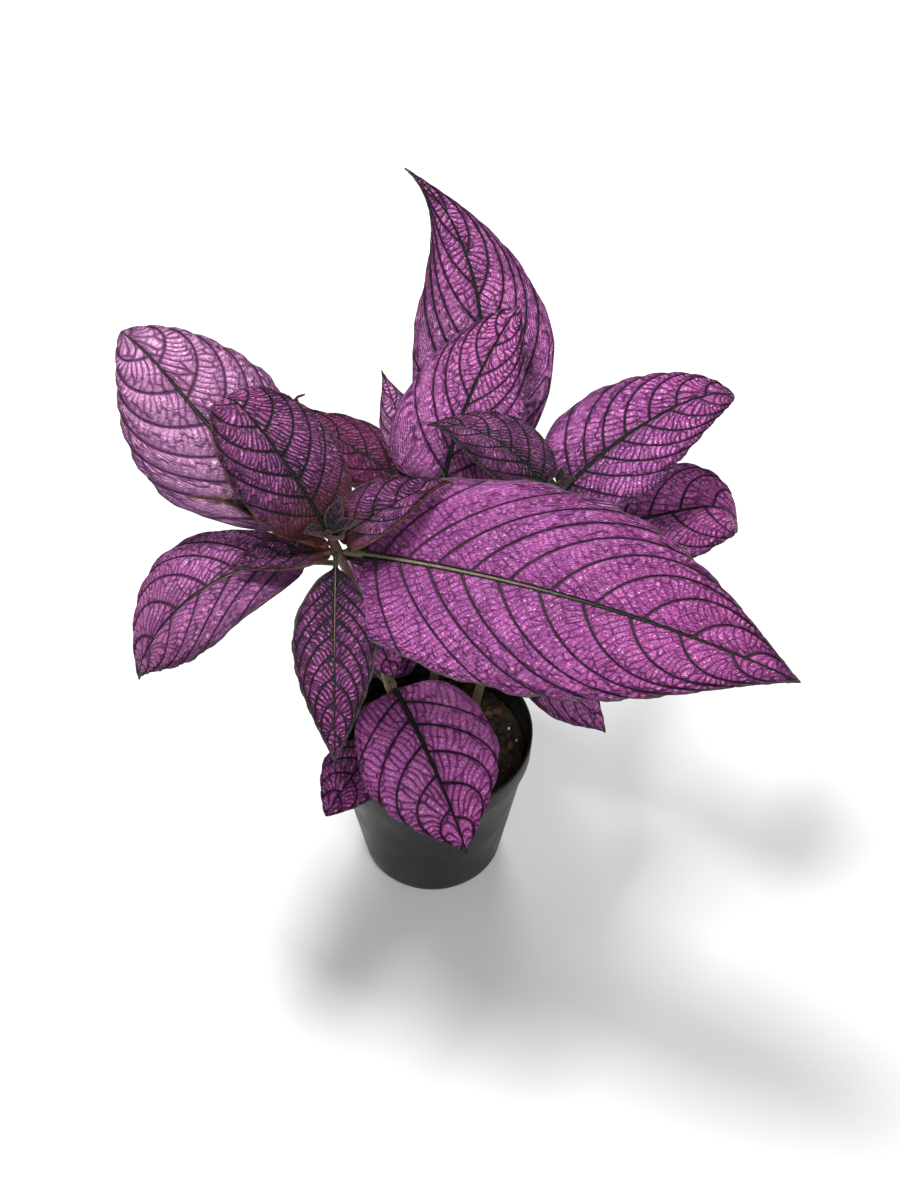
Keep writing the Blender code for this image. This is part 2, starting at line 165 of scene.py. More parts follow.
def cloud(tree, scale, detail=3.0, roughness=0.5, place=None):
    """Soft noise from 0 to 1, at the surface point where no other place is given."""
    sockets = {"Scale": scale, "Detail": detail, "Roughness": roughness}
    sockets["Vector"] = object_place(tree) if place is None else place
    return add_node(tree, "ShaderNodeTexNoise", None, sockets).outputs["Fac"]


def new_finish(name, **fixed):
    """A material with its fixed values set on the Principled shader, its node tree and that shader."""
    made = bpy.data.materials.new(name)
    made.use_nodes = True
    shader = made.node_tree.nodes["Principled BSDF"]
    for socket, value in fixed.items():
        shader.inputs[socket.replace("_", " ")].default_value = value
    return made, made.node_tree, shader


def dress(tree, shader, relief, strength, distance, **shown):
    """The relief as a bump, and the colour and values shown, each linked to its socket of the shader."""
    sockets = {"Strength": strength, "Distance": distance, "Height": relief}
    shown["Normal"] = add_node(tree, "ShaderNodeBump", None, sockets).outputs["Normal"]
    for socket, value in shown.items():
        tree.links.new(value, shader.inputs[socket.replace("_", " ")])


def make_mottle():
    """A node group: soft patches, and finer specks, each from 0 to 1."""
    tree = bpy.data.node_groups.new("mottle", "ShaderNodeTree")
    for way, names in {"INPUT": ("Patches", "Specks"), "OUTPUT": ("Soft", "Fine")}.items():
        for name in names:
            tree.interface.new_socket(name, in_out=way, socket_type="NodeSocketFloat")
    given = tree.nodes.new("NodeGroupInput").outputs
    result = tree.nodes.new("NodeGroupOutput").inputs
    patches = cloud(tree, given["Patches"], 3.0, 0.6)
    specks = cloud(tree, given["Specks"], 2.0, 0.7)
    tree.links.new(fade(tree, patches, 0.30, 0.70), result["Soft"])
    tree.links.new(fade(tree, specks, 0.35, 0.65), result["Fine"])
    return tree


mottle = make_mottle()


def mottled(tree, patches, specks):
    """The mottle group placed in a material, with the number of patches and specks to a metre."""
    made = add_node(tree, "ShaderNodeGroup", {"node_tree": mottle}, {"Patches": patches, "Specks": specks})
    return made.outputs["Soft"], made.outputs["Fine"]


def make_pot_finish():
    """Satin black plastic in two close tones, dusted with dry soil near the rim and the floor."""
    finish, tree, shader = new_finish("pot plastic", IOR=1.46, Specular_IOR_Level=0.3)
    patches, specks = mottled(tree, 45.0, 900.0)
    height = add_node(tree, "ShaderNodeSeparateXYZ", None, {0: object_place(tree)}).outputs["Z"]
    black = blend(tree, patches, colour(0.004, 0.0042, 0.005), colour(0.008, 0.0084, 0.0095))
    near_rim = fade(tree, height, 0.078, 0.101)
    near_floor = fade(tree, height, 0.010, 0.0, 0.0, 0.5)
    dusty = times(tree, maths(tree, "ADD", near_rim, near_floor), fade(tree, specks, 0.55, 1.0))
    dusty = times(tree, dusty, times(tree, patches, 0.45))
    shown = blend(tree, dusty, black, colour(0.085, 0.062, 0.045))
    rough = maths(tree, "ADD", scaled(tree, patches, 0.12, 0.36), times(tree, dusty, 0.4))
    mould_lines = maths(tree, "SINE", times(tree, height, 2400.0))
    relief = scaled(tree, mould_lines, 0.10, cloud(tree, 2600.0, 2.0))
    dress(tree, shader, relief, 0.25, 0.0004, Base_Color=shown, Roughness=rough)
    return finish


def make_pot():
    """The profile, up the inside and down the outside, turned about the pot's axis, with its holes cut."""
    foot = POT_HEIGHT - RIM_BAND_HEIGHT
    outer, inner, top = POT_RIM_RADIUS, POT_RIM_RADIUS - POT_WALL, POT_HEIGHT
    profile = [
        (0, POT_WALL), (0.020, POT_WALL), (0.036, POT_WALL),
        (pot_radius(POT_WALL) - 2.4 * POT_WALL, POT_WALL), (pot_radius(0.002) - 1.5 * POT_WALL, 0.0022),
        (pot_radius(0.0045) - POT_WALL, 0.0045), (pot_radius(foot) - POT_WALL, foot - 0.0012),
        (pot_radius(foot) - 0.6 * POT_WALL, foot), (inner, foot + RIM_BAND_STEP),
        (inner, top - RIM_ROUND), (inner + 0.3 * RIM_ROUND, top - 0.3 * RIM_ROUND),
        (inner + RIM_ROUND, top), (outer - RIM_ROUND, top), (outer - 0.3 * RIM_ROUND, top - 0.3 * RIM_ROUND),
        (outer, top - RIM_ROUND), (outer - 0.2 * RIM_BAND_DRAFT, foot + 0.7 * RIM_BAND_HEIGHT),
        (outer - RIM_BAND_DRAFT, foot + 0.0006), (outer - RIM_BAND_DRAFT - 0.0005, foot),
        (pot_radius(foot) + 0.0006, foot - 0.0003), (pot_radius(foot), foot - 0.0012),
        (pot_radius(0.060), 0.060), (pot_radius(0.030), 0.030), (pot_radius(0.006), 0.006),
        (pot_radius(0.002), 0.0020), (pot_radius(0) - 0.0004, 0.0007), (pot_radius(0) - 0.0018, 0.0),
        (0.036, 0), (0.020, 0), (0, 0),
    ]
    mesh = bpy.data.meshes.new("nursery_pot")
    mesh.from_pydata([(r, 0, z) for r, z in profile], [(i, i + 1) for i in range(len(profile) - 1)], [])
    made = add_piece("nursery_pot", mesh, make_pot_finish())
    turn = made.modifiers.new("turn", "SCREW")
    turn.steps = POT_SIDES
    turn.render_steps = POT_SIDES
    turn.use_merge_vertices = True
    turn.merge_threshold = MERGE_REACH
    holes = bpy.data.collections.new("drain hole cutters")
    for number in range(DRAIN_HOLES):
        angle = 2 * math.pi * (number + 0.5) / DRAIN_HOLES
        place = (DRAIN_RING_RADIUS * math.cos(angle), DRAIN_RING_RADIUS * math.sin(angle), 0)
        bpy.ops.mesh.primitive_cylinder_add(
            vertices=32, radius=DRAIN_HOLE_RADIUS, depth=DRAIN_CUTTER_DEPTH, location=place,
        )
        cutter = bpy.context.object
        bpy.context.scene.collection.objects.unlink(cutter)
        holes.objects.link(cutter)
    cut = made.modifiers.new("drain holes", "BOOLEAN")
    cut.operand_type = "COLLECTION"
    cut.collection = holes
    bpy.context.scene.collection.children.link(holes)
    bpy.context.view_layer.update()
    whole = bpy.data.meshes.new_from_object(made.evaluated_get(bpy.context.evaluated_depsgraph_get()))
    made.modifiers.clear()
    made.data = whole
    for cutter in list(holes.objects):
        bpy.data.objects.remove(cutter)
    bpy.data.collections.remove(holes)
    whole.shade_smooth()
    whole.set_sharp_from_angle(angle=math.radians(SHARP_EDGE_ANGLE))
    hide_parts("pot")


make_pot()


# Soil
# Damp peat-based potting mix, filled to a finger's width under the rim. Its top is loose crumbs, with a
# few grains of white perlite and some flakes of bark.

SOIL_TOP = 0.084
SOIL_MOUND = 0.003
SOIL_GAP = 0.0003
SOIL_RINGS = 84
SOIL_SECTORS = 190
CRUMBS = 420
PERLITE_GRAINS = 46
BARK_FLAKES = 26
RIM_CLEAR = 0.0035
STEM_CLEAR = 0.006
SHOOT_FEET = {"front": (-0.012, -0.010), "right": (0.020, 0.006), "back": (-0.002, 0.022)}


def soil_height(x, y):
    """The lumpy, slightly mounded top of the soil, with its crumbs."""
    edge = pot_radius(SOIL_TOP) - POT_WALL
    mound = SOIL_MOUND * (1 - (x * x + y * y) / edge**2)
    lumps = math.sin(x * 310 + 1.3) * math.cos(y * 270 - 0.6) + math.sin(x * 610 - y * 520)
    near, far = noise.voronoi(Vector((x * 330, y * 330, 2.0)))[0][:2]
    roughness = noise.fractal(Vector((x, y, 0)) * 900, 1.0, 2.0, 3)
    crumbs = 0.0013 * min(1.0, 1.6 * (far - near)) + 0.0007 * roughness
    return SOIL_TOP + mound + 0.0009 * lumps + crumbs - 0.0006


def make_soil_finish(name, dark, light, specks=1500.0):
    """Damp crumbs in patches of two tones, with dark specks."""
    finish, tree, shader = new_finish(name, Roughness=0.93, IOR=1.35)
    patches, fine = mottled(tree, 160.0, specks)
    shown = blend(tree, times(tree, fine, 0.55), blend(tree, patches, dark, light), dark)
    dress(tree, shader, cloud(tree, 2200.0, 4.0, 0.7), 0.8, 0.0006, Base_Color=shown)
    return finish


def make_soil():
    """The filled body of soil, its top in fine rings."""
    inset = POT_WALL + SOIL_GAP
    edge = pot_radius(SOIL_TOP) - inset
    turns = np.linspace(0, 2 * math.pi, SOIL_SECTORS, endpoint=False)
    points = [(0, 0, soil_height(0, 0))]
    for ring in range(1, SOIL_RINGS + 1):
        radius = edge * (ring / SOIL_RINGS)
        for turn in turns:
            x, y = radius * math.cos(turn), radius * math.sin(turn)
            points.append((x, y, soil_height(x, y) if ring < SOIL_RINGS else SOIL_TOP - 0.001))
    low = pot_radius(inset) - inset
    points += [(low * math.cos(turn), low * math.sin(turn), inset) for turn in turns]
    points.append((0, 0, inset))
    faces = []
    for ring in range(-1, SOIL_RINGS + 1):
        for here in range(SOIL_SECTORS):
            after = (here + 1) % SOIL_SECTORS
            inner, outer = 1 + ring * SOIL_SECTORS, 1 + (ring + 1) * SOIL_SECTORS
            if ring < 0:
                faces.append((0, outer + here, outer + after))
            elif ring == SOIL_RINGS:
                faces.append((inner + after, inner + here, len(points) - 1))
            else:
                faces.append((inner + here, outer + here, outer + after, inner + after))
    made = add_piece(
        "potting_soil", mesh_of("potting_soil", points, faces),
        make_soil_finish("damp soil", colour(0.010, 0.006, 0.004), colour(0.045, 0.028, 0.018)),
    )
    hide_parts("soil")


def scatter_lumps(name, count, sizes, flatness, seed, finish):
    """Many small rough lumps that lie half sunk in the top of the soil, clear of the stems."""
    draw = np.random.default_rng(seed)
    bpy.ops.mesh.primitive_ico_sphere_add(subdivisions=2, radius=1.0)
    pattern = bpy.context.object
    ball = np.array([vertex.co[:] for vertex in pattern.data.vertices])
    triangles = [tuple(face.vertices) for face in pattern.data.polygons]
    bpy.data.objects.remove(pattern)
    reach = pot_radius(SOIL_TOP) - POT_WALL - RIM_CLEAR
    stems = list(SHOOT_FEET.values())
    points, faces = [], []
    while len(faces) < count * len(triangles):
        x, y = draw.uniform(-reach, reach, 2)
        if math.hypot(x, y) > reach or min(math.hypot(x - a, y - b) for a, b in stems) < STEM_CLEAR:
            continue
        size = draw.uniform(*sizes)
        shift = Vector((x, y, 0)) * 4000
        rough = 1 + 0.28 * np.array([noise.noise(Vector(point) * 1.7 + shift) for point in ball])
        shape = ball * rough[:, None] * size * np.array([1.0, draw.uniform(0.6, 1.0), flatness])
        turn = draw.uniform(0, 2 * math.pi)
        lean = draw.uniform(-0.35, 0.35)
        shape[:, 2] += shape[:, 0] * lean
        shape = shape @ np.array([
            [math.cos(turn), math.sin(turn), 0], [-math.sin(turn), math.cos(turn), 0], [0, 0, 1],
        ])
        shape += (x, y, soil_height(x, y) + 0.25 * size * flatness)
        start = len(points) * len(ball)
        points.append(shape)
        faces += [tuple(start + index for index in triangle) for triangle in triangles]
    made = add_piece(name, mesh_of(name, np.array(points), faces), finish)


make_soil()
scatter_lumps(
    "soil_crumbs", CRUMBS, (0.0007, 0.0019), 0.75, 5,
    make_soil_finish("soil crumbs", colour(0.014, 0.008, 0.005), colour(0.060, 0.037, 0.022)),
)
scatter_lumps(
    "perlite_grains", PERLITE_GRAINS, (0.0007, 0.0016), 0.8, 11,
    make_soil_finish("perlite", colour(0.40, 0.38, 0.34), colour(0.78, 0.77, 0.73), 2600.0),
)
scatter_lumps(
    "bark_flakes", BARK_FLAKES, (0.0016, 0.0034), 0.28, 23,
    make_soil_finish("bark", colour(0.035, 0.016, 0.008), colour(0.13, 0.065, 0.032)),
)


# Stems
# Three soft, slightly four-sided stems. They are brownish green below and reddish brown near the tip,
# with a swelling at each pair of leaves, and they stand in the soil.

STEM_SIDES = 28
STEM_RINGS = 150
STEM_THINNING = 0.35
STEM_BURIED = 0.008
NODE_SWELL = 1.22
NODE_REACH = 0.005
STEM_END_ROUND = 0.0012
STEM_SQUARENESS = 0.045
STREAK_STRETCH = 0.06
TOUCH_GAP = 0.0003

Shoot = namedtuple("Shoot", "tip bow radius")
SHOOTS = {
    "front": Shoot(tip=(-0.045, -0.024, 0.274), bow=(0.004, 0.000), radius=0.0030),
    "right": Shoot(tip=(0.062, 0.026, 0.257), bow=(-0.004, 0.004), radius=0.0026),
    "back": Shoot(tip=(0.004, 0.046, 0.234), bow=(0.004, 0.004), radius=0.0026),
}
LEAF_HEIGHTS = {
    "front": (0.955, 0.92, 0.995, 0.965, 0.96, 0.99, 0.915, 0.42, 0.21, 0.975, 0.80, 0.38, 0.78, 0.62),
    "right": (0.97, 0.93, 0.80, 0.76, 0.60, 0.50, 0.34),
    "back": (0.97, 0.93, 0.85, 0.95, 0.31, 0.66, 0.48, 0.46, 0.28),
}


def stem_point(name, height):
    """A point on the shoot's centre line, at a height from 0 at the soil to 1 at the tip."""
    foot = Vector((*SHOOT_FEET[name], SOIL_TOP))
    tip = Vector(SHOOTS[name].tip)
    bow = Vector((*SHOOTS[name].bow, 0.0))
    return foot + (tip - foot) * height + bow * 4 * height * (1 - height)


def stem_direction(name, height):
    """The direction in which the shoot grows at that height."""
    return (stem_point(name, height + 0.01) - stem_point(name, height - 0.01)).normalized()


def stem_radius(name, height):
    """The stem thins towards its tip."""
    return SHOOTS[name].radius * (1.0 - STEM_THINNING * max(0.0, height))


def node_swelling(name, height):
    """How much thicker the stem is near the height of a leaf."""
    length = (Vector(SHOOTS[name].tip) - stem_point(name, 0)).length
    nearest = min(abs(height - leaf) for leaf in LEAF_HEIGHTS[name]) * length
    return 1 + (NODE_SWELL - 1) * math.exp(-((nearest / (0.6 * NODE_REACH)) ** 2))


def paint(tree, skin, *coats):
    """Coats of colour laid over a skin one after the other, each by its own factor."""
    for factor, tone in coats:
        skin = blend(tree, factor, skin, tone)
    return skin


def make_stem_finish():
    """A brownish green skin, redder near the tip, with fine lengthwise streaks and small pale pores."""
    finish, tree, shader = new_finish("stem skin", Roughness=0.52, IOR=1.42, Subsurface_Weight=0.05)
    patches, specks = mottled(tree, 90.0, 1400.0)
    place = object_place(tree)
    height = add_node(tree, "ShaderNodeSeparateXYZ", None, {0: place}).outputs["Z"]
    stretch = {0: place, 1: (1, 1, STREAK_STRETCH)}
    long_place = add_node(tree, "ShaderNodeVectorMath", {"operation": "MULTIPLY"}, stretch).outputs[0]
    streaks = cloud(tree, 1700.0, 3.0, 0.6, long_place)
    young = blend(tree, patches, colour(0.050, 0.022, 0.016), colour(0.070, 0.038, 0.022))
    skin = paint(
        tree, blend(tree, patches, colour(0.060, 0.062, 0.022), colour(0.105, 0.070, 0.035)),
        (fade(tree, height, 0.15, 0.26), young),
        (fade(tree, streaks, 0.45, 0.7, 0.0, 0.45), colour(0.030, 0.018, 0.012)),
        (fade(tree, specks, 0.80, 1.0, 0.0, 0.35), colour(0.22, 0.17, 0.11)),
    )
    dress(tree, shader, scaled(tree, specks, 0.4, streaks), 0.5, 0.0004, Base_Color=skin)
    return finish


def make_stem(name, finish):
    """One shoot's stem in fine rings, closed at both ends."""
    length = (Vector(SHOOTS[name].tip) - stem_point(name, 0)).length
    turns = np.linspace(0, 2 * math.pi, STEM_SIDES, endpoint=False)
    square = 1 + STEM_SQUARENESS * np.cos(4 * turns)
    rings = []
    for height in np.linspace(-STEM_BURIED / length, 1, STEM_RINGS):
        middle, along = stem_point(name, height), stem_direction(name, height)
        side = along.cross(Vector((0, 1, 0))).normalized()
        other = along.cross(side)
        end = min(1.0, max(0.05, (1.0 - height) * length / STEM_END_ROUND + 0.55))
        reach = stem_radius(name, height) * node_swelling(name, height) * min(1.0, end)
        rings.append([
            middle + (side * math.cos(turn) + other * math.sin(turn)) * reach * shape
            for turn, shape in zip(turns, square)
        ])
    faces = []
    for ring in range(STEM_RINGS - 1):
        for here in range(STEM_SIDES):
            after = (here + 1) % STEM_SIDES
            low, high = ring * STEM_SIDES, (ring + 1) * STEM_SIDES
            faces.append((low + here, low + after, high + after, high + here))
    faces.append(tuple(reversed(range(STEM_SIDES))))
    faces.append(tuple(range((STEM_RINGS - 1) * STEM_SIDES, STEM_RINGS * STEM_SIDES)))
    made = add_piece(f"{name}_shoot_stem", mesh_of(f"{name}_shoot_stem", np.array(rings), faces), finish)
    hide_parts(f"{name}_stem")


stem_finish = make_stem_finish()
for shoot_name in SHOOTS:
    make_stem(shoot_name, stem_finish)


# Leaves of the front shoot
# Each leaf is one living blade on a short round stalk. Its side veins are sunk, the skin between them is
# puffed up and quilted by a ladder of fine cross veins, and its purple upper skin shines like metal.

STALK_HALF_WIDTH = 0.0014
TIP_HALF_WIDTH = 0.0004
BLADE_THICKNESS = 0.0007
MIDRIB_THICKNESS = 0.0026
MIDRIB_REACH = 0.0022
MIDRIB_STATIONS = 64
HOOK_START = 0.72
DROOP_POWER = 1.3
VEIN_LEAN_RISE = 0.06
VEIN_CROWDING = 0.75
VEIN_STAGGER = 0.25
RIB_SHARE = 0.13
MARGIN_NOTCH = 0.035
STALK_ROWS = 8
UNDER_ROW_STEP = 2
UNDER_COLUMN_STEP = 4
COLUMN_CROWDING = 1.1
TIP_SWEEP = 0.92
TOOTH_DEPTH = 0.012
TEETH_TO_A_VEIN = 3
RIB_RISE = 0.0004
RIB_HALF_WIDTH = 0.0007
VEIN_RIB_HALF_MM = 0.7
RUNG_GROOVE = 0.36
GRAIN_GROOVE = 0.2
GRAIN_SHARE = 0.45

# The first eighteen values are those of the solid, apart from the number of veins. sweep is how far the
# side veins run forward, and bend is the part of it that comes near the margin. rung is the distance
# between the fine cross veins in millimetres, and fine is how many rows of faces one such distance gets.
# quilt is how deep the pads between them are, and grain is how pebbled each pad is. age runs from 0 in a
# full-grown leaf to 1 in a young one, and pale is how light the midrib is and how wide and light the
# pale margin band is, which is partly painted sheen. glow brightens or darkens the whole
# skin, partly as the leaf's own tone and partly as painted light and shade. wine turns it red and
# bloom covers it with a dull lilac film of painted sheen. wing is how many millimetres the blade
# reaches beyond its stalk where it runs down it.
LEAF_FIELDS = {
    "shoot": "front", "height": 1.0, "azimuth": 0.0, "rise": 20.0, "droop": 30.0, "sway": 0.0, "hook": 0.0,
    "swerve": 0.0, "roll": 0.0, "length": 0.120, "width": 0.050, "stalk": 0.010, "fold": 12.0, "arch": 20.0,
    "belly": 0.42, "base_taper": 1.0, "tip_taper": 1.2, "veins": 7,
    "sweep": 0.38, "rung": 3.0, "fine": 2.2, "quilt": 0.15, "grain": 0.3,
    "age": 0.2, "pale": 0.0, "glow": 1.0, "wine": 0.0, "bloom": 0.12, "bend": 0.58, "wing": 0.0,
}
Leaf = namedtuple("Leaf", LEAF_FIELDS, defaults=LEAF_FIELDS.values())

FRONT_LEAVES = {
    "front_leaf_1": Leaf(
        height=0.955, azimuth=-24.5, rise=14.5, droop=22, sway=-2, roll=24, length=0.2235, width=0.100,
        stalk=0.012, fold=8, arch=18, belly=0.39, base_taper=0.34, tip_taper=1.08, veins=11, rung=3.2,
        age=0.0, pale=1.0, glow=1.5, fine=5.2, grain=1.0, wing=5.0,
    ),
    "front_leaf_2": Leaf(
        height=0.92, azimuth=148, rise=30, droop=4, sway=-17, hook=29, roll=-20, length=0.154,
        width=0.078, stalk=0.012, fold=6, arch=26, belly=0.51, base_taper=1.25, tip_taper=0.78, veins=8,
        rung=3.4, age=0.05, pale=1.0, glow=0.65, fine=4.15, grain=0.2, bloom=0.75,
    ),
    "front_leaf_3": Leaf(
        height=0.995, azimuth=134, rise=48, droop=38, hook=60, length=0.093, width=0.058, stalk=0.004,
        arch=26, base_taper=0.55, tip_taper=0.8, rung=1.9, age=0.85, fine=4.15, quilt=0.36, grain=0.3,
        wing=5.0,
    ),
    "front_leaf_4": Leaf(
        height=0.965, azimuth=271, rise=-10, droop=34, length=0.101, width=0.038, stalk=0.008,
        tip_taper=1.0, veins=10, sweep=0.30, rung=2.1, age=0.8, pale=0.8, glow=0.9, quilt=0.34, fine=4.15,
    ),
    "front_leaf_5": Leaf(
        height=0.96, azimuth=195, rise=12, droop=24, length=0.049, width=0.022, stalk=0.004, fold=20,
        veins=5, rung=1.7, age=0.85, glow=0.8, quilt=0.30, fine=4.0, wing=4.5,
    ),
    "front_leaf_6": Leaf(
        height=0.99, azimuth=17, rise=30, droop=12, hook=30, length=0.061, width=0.034, stalk=0.002,
        fold=24, belly=0.34, base_taper=0.5, tip_taper=1.6, veins=5, rung=1.8, age=0.9, quilt=0.30,
        fine=4.4, grain=0.6, wing=4.5,
    ),
    "front_leaf_7": Leaf(
        height=0.915, azimuth=182, rise=10, droop=84, sway=36, roll=4, length=0.126, width=0.072,
        stalk=0.014, belly=0.50, base_taper=0.54, tip_taper=1.35, rung=2.8, age=0.3, pale=0.5, fine=4.15,
        grain=0.3, bloom=0.35,
    ),
    "front_leaf_8": Leaf(
        height=0.42, azimuth=299, rise=-16, droop=40, length=0.097, width=0.074, stalk=0.004,
        base_taper=0.38, veins=6, rung=3.8, age=0.1, glow=1.3, fine=5.0, quilt=0.17, grain=0.1,
    ),
    "front_leaf_9": Leaf(
        height=0.21, azimuth=232, rise=-3, droop=32, length=0.062, width=0.037, stalk=0.014,
        tip_taper=0.9, veins=5, rung=2.6, fine=4.0, age=0.1, glow=1.1,
    ),
    "front_leaf_10": Leaf(
        height=0.975, azimuth=169, rise=34, droop=40, length=0.070, width=0.015, stalk=0.004, belly=0.30,
        tip_taper=4.0, veins=5, rung=1.6, age=1.0, glow=0.7, fine=3.2, wing=2.0,
    ),
    "front_leaf_11": Leaf(height=0.80, azimuth=12, rise=0, droop=40, length=0.110, width=0.054, glow=0.8),
    "front_leaf_12": Leaf(height=0.38, azimuth=128, rise=0, droop=50, length=0.072, width=0.034, veins=6),
    "front_leaf_13": Leaf(
        height=0.78, azimuth=302, rise=-30, droop=30, length=0.042, width=0.030, stalk=0.005, veins=5,
        fine=3.2,
    ),
    "front_leaf_14": Leaf(height=0.62, azimuth=84, rise=6, droop=70, length=0.084, width=0.042, veins=6),
}


def smooth(value):
    """0 below 0, 1 above 1 and a smooth step between."""
    value = np.clip(value, 0, 1)
    return value * value * (3 - 2 * value)


def leaf_foot(leaf):
    """Where the leaf stalk meets the side of its stem, the touching gap away from it."""
    along = stem_direction(leaf.shoot, leaf.height)
    azimuth, rise = math.radians(leaf.azimuth), math.radians(leaf.rise)
    ahead = Vector((
        math.cos(rise) * math.cos(azimuth), math.cos(rise) * math.sin(azimuth), math.sin(rise),
    ))
    outward = (ahead - along * ahead.dot(along)).normalized()
    hang = max(0.0, -ahead.dot(along))
    reach = stem_radius(leaf.shoot, leaf.height) * NODE_SWELL + TOUCH_GAP + MIDRIB_THICKNESS * hang
    return stem_point(leaf.shoot, leaf.height) + outward * reach


def midrib(leaf, foot):
    """Centre, leftward and upward directions at even steps from the stalk's foot to the leaf's tip."""
    share = np.linspace(0, 1, MIDRIB_STATIONS)
    late = smooth((share - HOOK_START) / (1 - HOOK_START))
    pitch = np.radians(leaf.rise - leaf.droop * share**DROOP_POWER - leaf.hook * late)
    yaw = np.radians(leaf.azimuth + leaf.sway * share + leaf.swerve * late)
    ahead = np.stack([np.cos(pitch) * np.cos(yaw), np.cos(pitch) * np.sin(yaw), np.sin(pitch)], axis=1)
    step = leaf.length / (MIDRIB_STATIONS - 1)
    travelled = np.cumsum((ahead[1:] + ahead[:-1]) / 2 * step, axis=0)
    centre = np.array(foot) + np.vstack([np.zeros(3), travelled])
    level = np.stack([-np.sin(yaw), np.cos(yaw), np.zeros_like(yaw)], axis=1)
    above = np.cross(ahead, level)
    turn = math.radians(leaf.roll)
    left = level * math.cos(turn) + above * math.sin(turn)
    up = above * math.cos(turn) - level * math.sin(turn)
    return share, centre, left, up


def half_width(leaf, along):
    """Half the blade's width at a share of the blade's length, stalk and drip tip included."""
    peak = along ** (math.log(0.5) / math.log(leaf.belly))
    taper = leaf.base_taper * (1 - along) + leaf.tip_taper * along
    blade = leaf.width / 2 * np.sin(np.pi * np.clip(peak, 0, 1)) ** taper
    return STALK_HALF_WIDTH * (1 - along) + TIP_HALF_WIDTH * along + blade


def row_along(leaf, origin, aside):
    """How far along the blade a side vein lies that leaves the midrib at origin, aside towards the margin.

    It leaves steeply and sweeps forward near the margin, the more so towards the leaf's tip."""
    sweep = leaf.sweep + (TIP_SWEEP - leaf.sweep) * origin
    lean = (1 - origin) * sweep * (1 - np.exp(-origin / VEIN_LEAN_RISE))
    return np.clip(origin + lean * ((1 - leaf.bend) * aside + leaf.bend * aside**2.4), 0, 1)


def place(leaf, spine, along, across, half):
    """Points of the plain blade, given how far along and across each lies."""
    share, centre, left, up = spine
    at = np.stack([np.interp(along, share, centre[:, axis]) for axis in range(3)], axis=-1)
    leftward = np.stack([np.interp(along, share, left[:, axis]) for axis in range(3)], axis=-1)
    upward = np.stack([np.interp(along, share, up[:, axis]) for axis in range(3)], axis=-1)
    aside = np.abs(across)
    fold, arch = math.radians(leaf.fold), math.radians(leaf.arch)
    sideways = half * (math.sin(fold) - np.sin(fold - arch * aside)) / arch
    lift = half * (np.cos(fold - arch * aside) - math.cos(fold)) / arch
    return at + leftward * (np.sign(across) * sideways)[..., None] + upward * lift[..., None]


def measure_rows(points, middle):
    """Three distances at each point of a grid whose rows follow the side veins.

    They are the way along the row from the midrib, the part of it that comes from the rows' slant, and the
    width of one row of faces."""
    tangent = np.gradient(points, axis=1)
    tangent[:, :middle] *= -1
    tangent /= np.linalg.norm(tangent, axis=-1, keepdims=True) + 1e-9
    steps = np.linalg.norm(np.diff(points, axis=1), axis=-1)
    outward = np.zeros(points.shape[:2])
    outward[:, middle + 1:] = np.cumsum(steps[:, middle:], axis=1)
    outward[:, :middle] = np.cumsum(steps[:, :middle][:, ::-1], axis=1)[:, ::-1]
    forward = np.gradient(points, axis=0)
    slip = np.sum(forward * tangent, axis=-1) - np.gradient(outward, axis=0)
    return outward, np.cumsum(slip, axis=0), np.linalg.norm(
        forward - tangent * np.sum(forward * tangent, axis=-1, keepdims=True), axis=-1
    )


def chance(first, second):
    """A number from 0 to 1 that looks random but is always the same for the same two numbers."""
    return np.modf(np.abs(np.sin(first * 12.9898 + second * 78.233) * 43758.5453))[0]


def net_distance(x, y, cell_x, cell_y, seed, stray):
    """The distance in millimetres to the nearest line of an irregular net.

    x and y count cells, cell_x and cell_y are a cell's size there in millimetres, and stray is how far
    cells stray from even rows."""
    column, row = np.floor(x), np.floor(y)
    centres = []
    for across in (-1, 0, 1):
        for along in (-1, 0, 1):
            key = (column + across) * 1.7 + seed
            centres.append((
                column + across + 0.5 + 0.8 * (chance(key, row + along) - 0.5),
                row + along + 0.5 + stray * (chance(row + along + 3.1, key) - 0.5),
            ))
    reach = np.array([(px - x) ** 2 + (py - y) ** 2 for px, py in centres])
    nearest = reach.argmin(axis=0)
    near_x = np.choose(nearest, [px for px, py in centres])
    near_y = np.choose(nearest, [py for px, py in centres])
    least = np.full(x.shape, 9.0)
    for (px, py), far in zip(centres, reach):
        slope = 2 * np.hypot((px - near_x) / cell_x, (py - near_y) / cell_y)
        beyond = np.where(slope > 1e-6, (far - reach.min(axis=0)) / np.maximum(slope, 1e-6), 9.0)
        least = np.minimum(least, beyond)
    return least


def grid_faces(index):
    """The four-cornered faces of a grid of points."""
    corners = [index[:-1, :-1], index[1:, :-1], index[1:, 1:], index[:-1, 1:]]
    return np.stack(corners, axis=-1).reshape(-1, 4).tolist()


def rim_faces(top, low):
    """The faces that close the edge between the fine upper grid and the coarser one under it."""
    faces = []
    sides = ((top[::-1, 0], low[::-1, 0]), (top[:, -1], low[:, -1]))
    ends = ((top[0], low[0]), (top[-1, ::-1], low[-1, ::-1]))
    for fine, coarse in sides + ends:
        step = (len(fine) - 1) // (len(coarse) - 1)
        for number in range(len(coarse) - 1):
            above = fine[number * step:(number + 1) * step + 1]
            faces.append([*above.tolist(), int(coarse[number + 1]), int(coarse[number])])
    return faces


